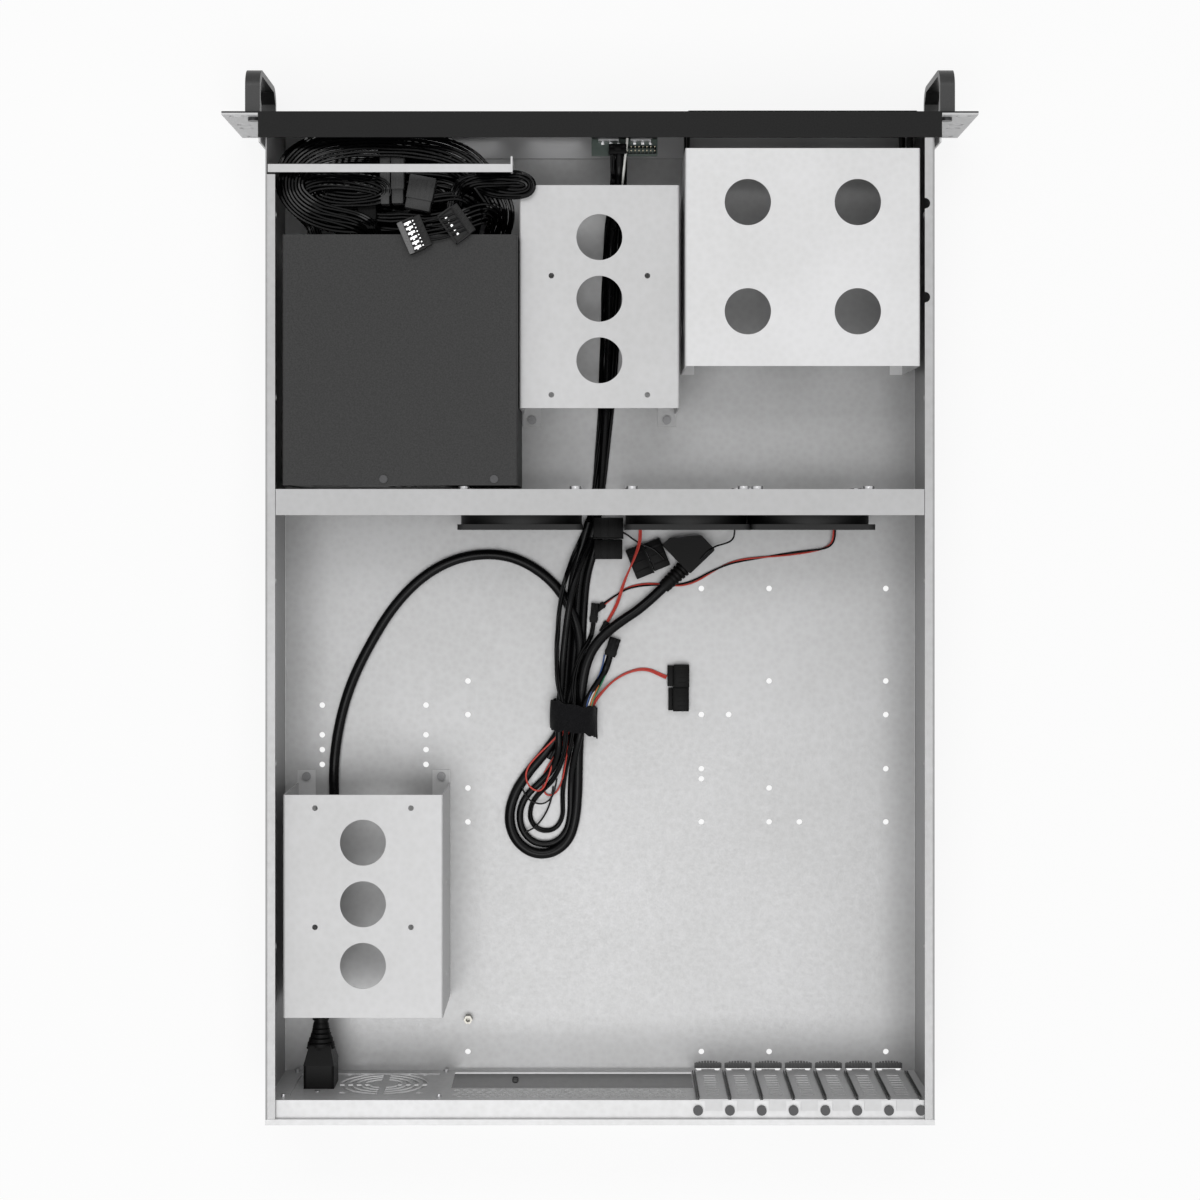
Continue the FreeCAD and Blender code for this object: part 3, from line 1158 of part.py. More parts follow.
# Points of each cord's route, laid by hand over the floor of the tray.
POWER_ROUTE = (
    (184, 278.65, 36), (184, 262, 36), (183.5, 243, 30.5), (182, 222, 18.5), (180.5, 200, 8),
    (181.5, 176, 4.7), (178.5, 147, 4.6), (179.5, 116, 4.6), (175.5, 88, 4.6), (168, 62, 4.6),
    (156, 37, 4.6), (139, 9, 4.6), (117, -13, 4.6), (91, -25, 4.6), (61, -25.5, 4.6),
    (34, -10.5, 4.6), (17, 14, 4.6), (12, 40, 4.6), (17, 61, 5.6), (22.5, 77, 6.8), (26, 93, 6.8),
    (37, 108, 5.2), (49, 122, 4.6), (58.5, 137, 4.6), (61.8, 153, 4.6), (57.1, 167.4, 4.6),
    (44.9, 176.3, 4.6), (29.7, 176.3, 4.6), (17.5, 167.4, 4.6), (12.8, 153, 4.6),
    (11.8, 133, 4.6), (12.8, 113, 5.4), (13, 95, 7.6), (12.5, 77, 8.2), (12, 62, 12.6),
    (8.5, 47, 13.2), (0.5, 34, 12.8), (-14, 22.5, 10.5), (-28.5, 10.2, 9), (-42.5, -3.2, 9))
PANEL_ROUTE = (
    (-9, -285.55, 59), (-9, -276.5, 59), (-8.7, -268, 54.5), (-8.3, -261, 45.5),
    (-8, -255.5, 33.5), (-7.5, -249, 22), (-7, -240, 12), (-6, -227, 5.5), (-4, -207, 3.8),
    (-6.5, -180, 3.7), (-4, -152, 3.7), (-5, -124, 3.7), (-4, -98, 3.7), (-4, -76, 3.8),
    (-2, -54, 3.8), (5.5, -35, 5.5), (13.5, -18, 11), (18.5, -3, 15), (21.5, 15, 15.2),
    (23.5, 31, 11), (25, 46, 8.5), (26, 62, 10.5), (27.3, 77, 13.6), (27.5, 93, 13.9),
    (27.5, 106, 12), (31, 118, 6.5), (40, 128, 3.7), (50, 137, 3.7), (54.7, 148.5, 3.7),
    (52.7, 161, 3.7), (44, 169.5, 3.7), (31.5, 170, 3.7), (22.3, 162, 3.7), (19.6, 149, 3.7),
    (19.6, 135, 3.9), (19, 120, 7.2), (16, 106, 12.2), (12.8, 93, 15.2), (11.3, 79, 15.3),
    (6.2, 67.5, 13.8), (0, 58.5, 8.5), (-4.6, 51, 4.2), (-6.5, 43, 4.2))
SWITCH_ROUTE = (
    (-2.7, -285.55, 59), (-2.7, -276.5, 59), (-2.4, -268, 54.5), (-2, -261, 45.5),
    (-1.6, -255.5, 33.5), (-1.2, -249, 22), (-0.6, -240, 12), (0.2, -227, 5), (2.2, -207, 3),
    (-0.3, -180, 3), (2.2, -152, 3), (1.2, -124, 3), (2.5, -98, 3), (3, -76, 3.1),
    (5, -54, 3.1), (12.5, -36, 5), (20, -19, 10.8), (25, -3, 14.6), (27.6, 15, 14.6),
    (28.6, 31, 10.5), (29.2, 48, 9.8), (28.2, 62, 16.8), (24, 77, 17.2), (22.6, 93, 16),
    (23.5, 106, 13), (27, 117, 9.4), (32, 127.5, 4.8), (40, 134.5, 3.1), (46.5, 143, 3),
    (47.5, 153.5, 3), (40.5, 161, 3), (30.5, 160.5, 3), (25, 152, 3), (25.3, 140, 3),
    (24.8, 129, 3), (23, 118, 4.2), (20.4, 106, 9.8), (18.4, 93, 15.2), (17.8, 78, 15.6),
    (17.6, 63, 14.8), (16.3, 50.5, 12.8), (12.6, 41, 11.8), (8, 34, 9), (5.2, 27.5, 4.2),
    (4.5, 20.5, 4.2))
FAN_THREE_ROUTE = (
    (-157.5, -41.7, 7), (-157.5, -36.4, 7), (-155.4, -31.6, 5.2), (-150.5, -29, 3.2),
    (-142, -27.4, 2.4), (-129.5, -25.8, 2.4), (-109, -23.2, 2.4), (-90, -20.6, 2.4), (-76.5, -14.4, 2.4),
    (-64.5, -7.4, 2.4), (-54, -4.4, 2.4), (-44, -5, 2.4), (-34, -5.2, 2.4), (-25, -4.4, 2.4),
    (-17, -2, 2.4), (-9.5, 2.2, 2.4))
FAN_TWO_ROUTE = (
    (-27, -41.7, 14), (-27, -36.4, 14), (-25.6, -30, 13.7), (-23.2, -23.5, 13.2),
    (-20.6, -17.3, 12), (-17.9, -11, 10.2), (-15.4, -4.5, 8.3), (-13.9, 2, 7.2),
    (-13.2, 8, 4.6), (-12.4, 13.2, 2.4), (-11.2, 18.5, 2.4))
DRIVE_ROUTE = (
    (7, 94, 12), (6.8, 84, 12.2), (5, 75, 11.6), (-1, 67.5, 8.4), (-8.5, 60, 4.6),
    (-17.5, 54.5, 2.6), (-27, 51.8, 2.5), (-34, 52.6, 2.5), (-39.6, 55.4, 2.5), (-44.8, 57.6, 2.5))


def cords():
    """Every free cord as a plain tube along its route."""
    made = []
    for name, radius, route in (("power_cord", 3.4, POWER_ROUTE), ("panel_cable", 2.3, PANEL_ROUTE),
                                ("switch_leads", 1.6, SWITCH_ROUTE),
                                ("fan_lead_3", 1.2, FAN_THREE_ROUTE),
                                ("fan_lead_2", 1.2, FAN_TWO_ROUTE), ("drive_lead", 1.3, DRIVE_ROUTE)):
        made.append(tube(name, radius, route))
    return made


def power_plug():
    """Angled moulded connector on the loose end of the mains cord, with three slots in its face."""
    body = piece("power_plug")
    add(body, "relief", "XZ", "0", "plug_body", circle, "0", "0", "4.4")
    outline = [("5.6", "plug_body"), ("5.6", "plug_end"), ("-7.7", "plug_end"), ("-21", "plug_end - 16.5"),
               ("-21", "plug_body")]
    block = add(body, "block", "XY", "-plug_half", "plug_half", polygon, outline)
    soften(body, "block_edges", block, (0, 1, 2, 3, 4), "1.5")
    for number, (x, z) in enumerate(((-5.2, -1.5), (-1, 2.5), (3.2, -1.5)), 1):
        cut(body, "slot_%d" % number, "XZ", "plug_end - 14", "plug_end + 1", rectangle,
            "%s - 0.9" % x, "%s + 0.9" % x, "%s - 2.4" % z, "%s + 2.4" % z)
    before, end = POWER_ROUTE[-2:]
    place(body, end[0], end[1], end[2])
    turn = math.degrees(math.atan2(end[1] - before[1], end[0] - before[0])) - 90
    body.Placement.Rotation = FreeCAD.Rotation(Vector(0, 0, 1), turn)
    return body


def turned_block(name, corner, turn, sizes):
    """A connector housing on the floor: its corner, its turn about Z and its three sizes."""
    block = doc.addObject("Part::Box", name)
    for word, amount in zip(("Length", "Width", "Height"), sizes):
        tie(block, word, amount)
    block.Placement.Rotation = FreeCAD.Rotation(Vector(0, 0, 1), turn)
    for letter, at in zip("xyz", corner):
        tie(block, "Placement.Base." + letter, at)
    return block


def end_block(name, route, length, width, height):
    """A small connector housing on the end of a cord, in line with its last run."""
    before, end = route[-2:]
    turn = math.degrees(math.atan2(end[1] - before[1], end[0] - before[0]))
    side = math.radians(turn + 90)
    corner = (end[0] - math.cos(side) * width / 2, end[1] - math.sin(side) * width / 2,
              "tray_gauge + lay")
    return turned_block(name, corner, turn, (length, width, height))


def group(name, solids):
    """Several loose solids of one kind as one node."""
    bundle = doc.addObject("Part::Compound", name)
    bundle.Label = name
    bundle.Links = solids
    return bundle


def cable_strap():
    """Hook-and-loop band round the tied cables."""
    body = piece("cable_strap")
    low = "tray_gauge + 0.1"
    back = "strap_front + strap_width"
    outer = add(body, "band", "XZ", "strap_front", back, rectangle, "strap_right", "strap_left",
                low, "strap_top")
    soften(body, "outer_corners", outer, (0, 1, 2, 3), "strap_round")
    cut(body, "inside", "XZ", "strap_front - 1", back + " + 1", rectangle,
        "strap_right + strap_gauge", "strap_left - strap_gauge", low + " + strap_gauge",
        "strap_top - strap_gauge")
    return body


def supply_cables():
    """Outer shapes of the three heaps of cable in front of the power supply."""
    floor = "tray_gauge + lay"
    back = SUPPLY_FRONT + " - cable_gap_rear"
    front = FACE + " + 23"
    coil = piece("supply_coil")
    add(coil, "coil", "XY", floor, "coil_top", ring, "supply_left - 30",
        back + " - coil_radius - 0.5", "coil_radius", "coil_hole")
    hank = piece("supply_hank")
    add(hank, "hank", "XY", floor, "hank_top", rectangle, "hank_right", "hank_left", front, back)
    loops = piece("supply_loops")
    inner = "hank_right - 2"
    outline = [("60", front), (inner, front), (inner, back), ("cage_width/2 + 2", back),
               ("cage_width/2 + 2", FACE + " + rail_place + rail_width + 3"),
               ("60", FACE + " + rail_place + rail_width + 3")]
    heap = add(loops, "loops", "XY", floor, "loops_top", polygon, outline)
    soften(loops, "rounded", heap, (0, 1, 2, 3, 4), "6")
    return [coil, hank, loops]


def small_plugs():
    """Housings on the ends of the thin leads and of the supply's cables."""
    floor = "tray_gauge + lay"
    board = turned_block("board_plug", ("-11.7", FACE + " + 16.6", "board_level + board_gauge"), 0,
                         (11.4, 6.4, 10.4))
    panel = end_block("panel_plug", PANEL_ROUTE, 12, 10, 5.6)
    switch = end_block("switch_plug", SWITCH_ROUTE, 13, 5.2, 5.6)
    fan_three = end_block("fan_plug_3", FAN_THREE_ROUTE, 8, 6, 4.5)
    fan_two = end_block("fan_plug_2", FAN_TWO_ROUTE, 8, 6, 4.5)
    over_gap = turned_block("gap_plug", (-15.6, -50, 8.2), 0, (20, 27.8, 9))
    beside_gap = turned_block("link_plug", (-21.9, -8.5, floor), -157.8, (24.5, 21, 8.4))
    drive = turned_block("drive_plug", (-60, 48.8, floor), 0, (14.6, 15.6, 8))
    drive_mate = turned_block("drive_mate", (-59.6, 64.4, floor), 0, (13.2, 15.8, 7))
    stack = []
    for number, (right, front, turn, sizes) in enumerate((
            (136.3, -284.5, 0, (6.5, 31.2, 12)), (127.3, -284.5, 0, (8.3, 30.8, 12)),
            (106.2, -269.7, -10.9, (17.2, 22, 12))), 1):
        stack.append(turned_block("supply_plug_%d" % number, (right, front, "hank_top + lay"), turn,
                                  sizes))
    return [group("header_plugs", [board, panel, switch]),
            group("fan_plugs", [fan_two, fan_three, over_gap, beside_gap]),
            group("drive_plugs", [drive, drive_mate]),
            group("supply_plugs", stack)]


# ---------------------------------------------------------------- assembly

nodes = [
    chassis_tray(),
    rear_panel(),
    rear_plate(),
    power_inlet(),
    plate_screws(),
    front_panel(),
    ear_bracket("ear_bracket_left", "-"),
    ear_bracket("ear_bracket_right", ""),
    handle("handle_left", "-"),
    handle("handle_right", ""),
    handle_screws(),
    bay_cover("bay_cover_lower", 0),
    bay_cover("bay_cover_upper", 1),
    io_bracket(),
    io_board(),
    usb_ports(),
    button("power_button", POWER_SPOT, "power_cap"),
    button("reset_button", RESET_SPOT, "reset_cap"),
    button_switches(),
    status_leds(),
    fan_wall(),
    fan_screws(),
    bay_cage(),
    cage_screws(),
    board_standoff(),
    psu_housing(),
    psu_inlet(),
    psu_screws(),
    psu_rail(),
    slot_screws(),
]
nodes += drive_cages()
nodes += [fan_frame(number) for number in (1, 2, 3)]
nodes += [fan_rotor(number) for number in (1, 2, 3)]
nodes += [slot_cover(number) for number in range(1, 8)]
nodes += cords()
nodes += supply_cables()
nodes += small_plugs()
nodes += [power_plug(), cable_strap()]

doc.recompute()

faults = []
for thing in doc.Objects:
    if "Invalid" in thing.State or "Error" in thing.State:
        faults.append("%s is %s" % (thing.Label, thing.State))
for pocket in cuts:
    if pocket.Shape.isNull():
        continue
    if pocket.Shape.Volume > pocket.BaseFeature.Shape.Volume - 1e-3:
        faults.append("%s of %s cuts nothing" % (pocket.Label, pocket.getParentGeoFeatureGroup().Label))
for node in nodes:
    if node.Shape.isNull() or not node.Shape.isValid():
        faults.append("%s has no valid shape" % node.Label)
if faults:
    raise SystemExit("\n".join(faults))

os.makedirs("parts", exist_ok=True)
for node in nodes:
    node.Shape.exportStep("parts/%s.step" % node.Label)
print(len(nodes), "nodes written")
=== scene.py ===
import math

import bmesh
import bpy
from mathutils import Matrix, Vector


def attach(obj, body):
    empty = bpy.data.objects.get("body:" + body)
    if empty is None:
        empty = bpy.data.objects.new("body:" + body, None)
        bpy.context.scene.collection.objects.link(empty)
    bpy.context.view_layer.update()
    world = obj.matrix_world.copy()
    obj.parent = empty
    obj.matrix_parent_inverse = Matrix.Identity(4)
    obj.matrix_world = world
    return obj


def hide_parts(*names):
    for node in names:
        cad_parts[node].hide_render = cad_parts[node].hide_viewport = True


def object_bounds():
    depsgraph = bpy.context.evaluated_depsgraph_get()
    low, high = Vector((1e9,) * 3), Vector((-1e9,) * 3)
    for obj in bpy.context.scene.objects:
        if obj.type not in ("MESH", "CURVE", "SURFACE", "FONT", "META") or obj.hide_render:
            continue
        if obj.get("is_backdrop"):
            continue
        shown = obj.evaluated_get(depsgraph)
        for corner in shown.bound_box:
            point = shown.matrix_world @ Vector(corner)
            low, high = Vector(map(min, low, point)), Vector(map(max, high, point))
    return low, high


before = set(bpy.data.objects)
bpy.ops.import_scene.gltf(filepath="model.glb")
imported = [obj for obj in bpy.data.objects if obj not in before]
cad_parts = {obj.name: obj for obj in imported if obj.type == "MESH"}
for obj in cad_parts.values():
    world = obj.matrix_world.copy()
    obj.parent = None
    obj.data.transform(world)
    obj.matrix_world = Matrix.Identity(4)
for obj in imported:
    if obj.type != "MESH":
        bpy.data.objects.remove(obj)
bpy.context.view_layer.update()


# ---- studio
# The open case lies flat on a white table under a large soft lamp and a lesser one, with an even
# fill from all round.  It is looked at from straight above, from a point over the front half.

scene = bpy.context.scene
scene.view_settings.view_transform = "Standard"

table_half, table_drop = 9, 0.0005
table_corners = [(x * table_half, y * table_half, -table_drop)
                 for x, y in ((-1, -1), (1, -1), (1, 1), (-1, 1))]
table_mesh = bpy.data.meshes.new("table_top")
table_mesh.from_pydata(table_corners, [], [(0, 1, 2, 3)])
table_top = bpy.data.objects.new("table_top", table_mesh)
scene.collection.objects.link(table_top)
table_top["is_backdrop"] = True


def wiring(owner):
    """The node tree of a material or world."""
    owner.use_nodes = True
    return owner.node_tree


def set_up(node, **values):
    """Give a node's inputs these values.  Their names have _ for each space."""
    for name, value in values.items():
        node.inputs[name.replace("_", " ")].default_value = value
    return node


def new_node(tree, kind, **values):
    """A new shading node of this kind, with these input values."""
    return set_up(tree.nodes.new("ShaderNode" + kind), **values)


def worked(tree, operation, first, second):
    """One step of arithmetic on two node values, or on a node value and a number."""
    step = new_node(tree, "Math")
    step.operation = operation
    tree.links.new(first, step.inputs[0])
    if isinstance(second, float):
        step.inputs[1].default_value = second
    else:
        tree.links.new(second, step.inputs[1])
    return step.outputs["Value"]


def mixed(tree, share, first, second):
    """The first shader where share is 0, and the second where it is 1."""
    mix = new_node(tree, "MixShader")
    for value, socket in zip((share, first, second), mix.inputs):
        tree.links.new(value, socket)
    return mix.outputs["Shader"]


paper_white, paper_glow = 0.93, 0.86
white_paper = bpy.data.materials.new("white_paper")
tree = wiring(white_paper)
tree.nodes.clear()
matt = new_node(tree, "BsdfDiffuse", Color=(paper_white, paper_white, paper_white, 1))
glow = new_node(tree, "Emission", Color=(1, 1, 1, 1), Strength=1.0)
rays = new_node(tree, "LightPath")
seen = worked(tree, "MAXIMUM", rays.outputs["Is Camera Ray"], rays.outputs["Is Glossy Ray"])
share = worked(tree, "MULTIPLY", seen, paper_glow)
paper = mixed(tree, share, matt.outputs["BSDF"], glow.outputs["Emission"])
tree.links.new(paper, new_node(tree, "OutputMaterial").inputs["Surface"])
table_mesh.materials.append(white_paper)

fill_strength, backdrop_strength = 0.46, 1.0
world = bpy.data.worlds.new("studio")
scene.world = world
tree = wiring(world)
tree.nodes.clear()
rays = new_node(tree, "LightPath")
seen = worked(tree, "MAXIMUM", rays.outputs["Is Camera Ray"], rays.outputs["Is Transmission Ray"])
mirrored = worked(tree, "MAXIMUM", seen, rays.outputs["Is Glossy Ray"])
whites = [new_node(tree, "Background", Color=(1, 1, 1, 1), Strength=strength).outputs["Background"]
          for strength in (fill_strength, backdrop_strength)]
tree.links.new(mixed(tree, mirrored, *whites), new_node(tree, "OutputWorld").inputs["Surface"])

for name, place, tilt, sizes, energy in (("rear_lamp", (0.06, 0.6, 1.9), -14, (1.4, 1.0), 13.8),
                                         ("front_lamp", (0.1, -0.85, 1.6), 26, (1.2, 0.5), 6.2)):
    lamp = bpy.data.lights.new(name, "AREA")
    lamp.shape = "RECTANGLE"
    lamp.size, lamp.size_y = sizes
    lamp.energy = energy
    hung = bpy.data.objects.new(name, lamp)
    hung.location = place
    hung.rotation_euler = (math.radians(tilt), 0, 0)
    scene.collection.objects.link(hung)

lens = bpy.data.cameras.new("camera")
lens.sensor_width = 36
lens.lens = 70.0
lens.shift_y = -0.0567
lens.clip_end = 50
camera = bpy.data.objects.new("camera", lens)
camera.location = (0, -0.0404, 1.575)
camera.rotation_euler = (0, 0, math.pi)
scene.collection.objects.link(camera)
scene.camera = camera


# ---- tray and rear wall
# Folded from zinc-coated steel sheet.  The coat is satin, with faint crystals, a fine grain and
# slow cloudy changes from the rolling.

def finish(name, colour, metallic, roughness, specular=0.5):
    """A new material with these plain values, and its node tree and shader."""
    material = bpy.data.materials.new(name)
    tree = wiring(material)
    shader = set_up(tree.nodes["Principled BSDF"], Base_Color=(*colour, 1), Metallic=metallic,
                    Roughness=roughness, Specular_IOR_Level=specular)
    return material, tree, shader


def on_surface(tree, scale=(1, 1, 1)):
    """Places on the piece in metres, stretched by these scales."""
    where = new_node(tree, "TexCoord")
    stretch = new_node(tree, "Mapping", Scale=scale)
    tree.links.new(where.outputs["Object"], stretch.inputs["Vector"])
    return stretch.outputs["Vector"]


def speckle(tree, place, scale, detail=2.0):
    """Fine irregular noise."""
    texture = new_node(tree, "TexNoise", Scale=scale, Detail=detail)
    tree.links.new(place, texture.inputs["Vector"])
    return texture.outputs["Fac"]


noise_low, noise_high = 0.3, 0.7


def gloss(tree, value, low, high, shader):
    """Let the roughness range from low to high over a texture's middle range."""
    ranged = new_node(tree, "MapRange", From_Min=noise_low, From_Max=noise_high, To_Min=low,
                      To_Max=high)
    tree.links.new(value, ranged.inputs["Value"])
    tree.links.new(ranged.outputs["Result"], shader.inputs["Roughness"])


def tones(tree, value, dark, light, shader):
    """Colour the shader between two tones by a texture."""
    ramp = new_node(tree, "ValToRGB")
    stops = ramp.color_ramp.elements
    stops[0].color, stops[1].color = (*dark, 1), (*light, 1)
    stops[0].position, stops[1].position = noise_low, noise_high
    tree.links.new(value, ramp.inputs["Fac"])
    tree.links.new(ramp.outputs["Color"], shader.inputs["Base Color"])


def raised(tree, shader, height, distance, strength=0.5):
    """Raise the surface by a texture, in metres."""
    bump = new_node(tree, "Bump", Distance=distance, Strength=strength)
    tree.links.new(height, bump.inputs["Height"])
    tree.links.new(bump.outputs["Normal"], shader.inputs["Normal"])


def cells(tree, place, scale):
    """Distance from the middle of the nearest of many small cells."""
    texture = new_node(tree, "TexVoronoi", Scale=scale)
    tree.links.new(place, texture.inputs["Vector"])
    return texture.outputs["Distance"]


crystal_scale, cloud_scale, grain_scale = 240, 9, 1500


def zinc(name, grey, metallic, roughness, crystal=0.3):
    """Zinc coat: crystals of slightly different grey over a cloudy ground, and a fine grain."""
    material, tree, shader = finish(name, (grey,) * 3, metallic, roughness)
    place = on_surface(tree)
    blend = new_node(tree, "Mix", Factor=crystal)
    tree.links.new(speckle(tree, place, cloud_scale, 3), blend.inputs["A"])
    tree.links.new(cells(tree, place, crystal_scale), blend.inputs["B"])
    tones(tree, blend.outputs["Result"], (grey * 0.92,) * 3,
          (grey * 1.05, grey * 1.05, grey * 1.06), shader)
    grain = speckle(tree, place, grain_scale)
    gloss(tree, grain, roughness - 0.05, roughness + 0.06, shader)
    raised(tree, shader, grain, 0.00004, 0.3)
    return material


def dress(material, *names):
    """Give CAD nodes a finish."""
    for name in names:
        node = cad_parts[name]
        node.data.materials.clear()
        node.data.materials.append(material)


dress(zinc("tray_zinc", 0.37, 0.55, 0.42), "chassis_tray", "io_bracket")
# The rear wall and its plate get a lighter grey than the tray's sheet: painted light on the wall's
# shaded inner face.
dress(zinc("wall_zinc_painted_light", 0.56, 0.3, 0.42), "rear_panel", "rear_plate")


# ---- fan wall and cages
# The fan wall, the two drive cages, the bay cage, the rail and the rack ears are bent from
# brighter sheet, rolled to a smooth even satin.

dress(zinc("cage_zinc", 0.56, 0.12, 0.45, 0.2), "drive_cage_front", "drive_cage_rear", "psu_rail",
      "ear_bracket_left", "ear_bracket_right")
dress(zinc("bay_zinc", 0.70, 0.08, 0.45, 0.2), "bay_cage")
dress(zinc("beam_zinc", 0.45, 0.15, 0.45, 0.2), "fan_wall")


# ---- card slot covers
# Seven blanking strips stamped from bright spring steel, with a row of vent holes each.  A small
# screw at the top of each strip holds it to the ledge of the rear wall.

slot_count = 7
dress(zinc("cover_zinc", 0.5, 0.2, 0.4, 0.2),
      *["slot_cover_%d" % (number + 1) for number in range(slot_count)])


# ---- screws and spacer
# Pan-head machine screws, bright zinc with a faint turned grain; black ones hold the handles and
# the supply.  The board spacer is turned brass under dull nickel, and the sockets' shells, folded
# from tinplate, are as bright as the screws.

def mottled(tree, shader, texture, colour, shades, low, high):
    """Vary the colour between two shades of itself, and the roughness in a range, by a texture."""
    dark, light = [tuple(min(1, shade * c) for c in colour) for shade in shades]
    tones(tree, texture, dark, light, shader)
    gloss(tree, texture, low, high, shader)


def turned_metal(name, colour, roughness, metallic=1.0):
    """Bright turned metal, with the fine grain stretched along the cut."""
    material, tree, shader = finish(name, colour, metallic, roughness)
    grain = speckle(tree, on_surface(tree, (1, 1, 6)), 2600)
    mottled(tree, shader, grain, colour, (0.85, 1.1), roughness - 0.06, roughness + 0.08)
    raised(tree, shader, grain, 0.00002, 0.3)
    return material


for name, colour, roughness, metallic, screws in (
        ("screw_zinc", (0.6, 0.6, 0.61), 0.3, 1.0, ("plate_screws", "fan_screws", "usb_ports")),
        ("screw_dull", (0.06, 0.06, 0.062), 0.5, 0.3, ("slot_screws",)),
        ("screw_grey", (0.26, 0.26, 0.265), 0.4, 0.5, ("cage_screws",)),
        ("screw_black", (0.06, 0.06, 0.062), 0.38, 0.8, ("handle_screws", "psu_screws")),
        ("spacer_nickel", (0.34, 0.33, 0.3), 0.35, 0.8, ("board_standoff",))):
    dress(turned_metal(name, colour, roughness, metallic), *screws)


# ---- front panel and handles
# The panel is steel under a fine black powder coat, left bare on the inside of its lower flange;
# the two strap handles are bent aluminium with a dark satin coat.

def powder(name, grey, roughness, specular, peel=0.00007):
    """Stoved paint with a fine orange-peel relief and slight changes of gloss."""
    material, tree, shader = finish(name, (grey,) * 3, 0.0, roughness, specular)
    texture = speckle(tree, on_surface(tree), 1100, 3)
    mottled(tree, shader, texture, (grey,) * 3, (0.75, 1.3), roughness - 0.06, roughness + 0.08)
    raised(tree, shader, texture, peel)
    return material


panel_paint = powder("panel_paint", 0.011, 0.5, 0.12)
tree = wiring(panel_paint)
bare = new_node(tree, "BsdfPrincipled", Base_Color=(0.4, 0.4, 0.405, 1), Metallic=0.5,
                Roughness=0.42)
facing = new_node(tree, "SeparateXYZ")
height = new_node(tree, "SeparateXYZ")
tree.links.new(new_node(tree, "TexCoord").outputs["Normal"], facing.inputs["Vector"])
tree.links.new(on_surface(tree), height.inputs["Vector"])
face_up, flange_height = 0.5, 0.01
upward = worked(tree, "GREATER_THAN", facing.outputs["Z"], face_up)
bottom = worked(tree, "LESS_THAN", height.outputs["Z"], flange_height)
inside = worked(tree, "MULTIPLY", upward, bottom)
both = mixed(tree, inside, tree.nodes["Principled BSDF"].outputs["BSDF"], bare.outputs["BSDF"])
tree.links.new(both, tree.nodes["Material Output"].inputs["Surface"])
dress(panel_paint, "front_panel")
dress(powder("handle_paint", 0.02, 0.36, 0.4, 0.00004), "handle_left", "handle_right")


# ---- bay covers and buttons
# The two blanking covers and the buttons are moulded in black plastic with a fine spark texture.
# The buttons slide in the panel and press the switches behind it.

black_mould = powder("black_mould", 0.004, 0.42, 0.08, 0.00005)
dress(black_mould, "bay_cover_lower", "bay_cover_upper", "power_button", "reset_button",
      "button_switches")


# ---- power supply
# The supply's housing is thin folded sheet, stoved in a matt dark grey, and black screws hold it.
# Its own inlet and the one on the rear wall are black mouldings.

dress(powder("supply_paint", 0.036, 0.55, 0.2), "psu_housing")
inlet_mould = powder("inlet_mould", 0.0045, 0.4, 0.1, 0.00003)
dress(inlet_mould, "power_inlet", "psu_inlet")


# ---- fans
# Three 80 mm fans in the openings of the fan wall: glass-filled frames with a dull skin, and
# smoother rotors with swept blades.

dress(powder("fan_frame_mould", 0.012, 0.5, 0.2, 0.00005),
      "fan_frame_1", "fan_frame_2", "fan_frame_3")
dress(powder("fan_rotor_mould", 0.011, 0.36, 0.3, 0.00002),
      "fan_rotor_1", "fan_rotor_2", "fan_rotor_3")


# ---- front board
# A small board with dark grey-green lacquer stands behind the panel.  It carries the sockets, the
# lamps, a row of soldered parts and two rows of gilt pins in moulded feet.

def block(low, high, bevel=0.0002, slot=0):
    """One bevelled block between two corners, as its points, faces and material number."""
    shape = bmesh.new()
    bmesh.ops.create_cube(shape, size=1.0)
    low, high = Vector(low), Vector(high)
    for point in shape.verts:
        point.co = (low + high) / 2 + point.co * (high - low)
    bmesh.ops.bevel(shape, geom=shape.edges[:], offset=bevel, segments=2, profile=0.5,
                    affect="EDGES")
    shape.verts.index_update()
    made = ([point.co.copy() for point in shape.verts],
            [[point.index for point in face.verts] for face in shape.faces], slot)
    shape.free()
    return made


def row(count, pitch, low, high, bevel=0.0002, slot=0):
    """The same block again and again, each a pitch further on in x, y and z."""
    return [block([a + number * step for a, step in zip(low, pitch)],
                  [b + number * step for b, step in zip(high, pitch)], bevel, slot)
            for number in range(count)]


def assemble(name, parts, materials, replaced=(), at=(0, 0, 0), turn=0.0):
    """Join the shapes, turned about the upright and moved to their place, into one piece of the
    case with the slot's finish."""
    place = Matrix.Translation(Vector(at)) @ Matrix.Rotation(turn, 4, "Z")
    points, faces, numbers = [], [], []
    for corners, sides, number in parts:
        first = len(points)
        points += [tuple(place @ corner) for corner in corners]
        faces += [[first + index for index in side] for side in sides]
        numbers += [number] * len(sides)
    mesh = bpy.data.meshes.new(name)
    mesh.from_pydata(points, [], faces)
    for material in materials:
        mesh.materials.append(material)
    mesh.polygons.foreach_set("material_index", numbers)
    mesh.shade_smooth()
    mesh.set_sharp_from_angle(angle=math.radians(40))
    made = bpy.data.objects.new(name, mesh)
    scene.collection.objects.link(made)
    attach(made, "case")
    if replaced:
        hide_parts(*replaced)
    return made


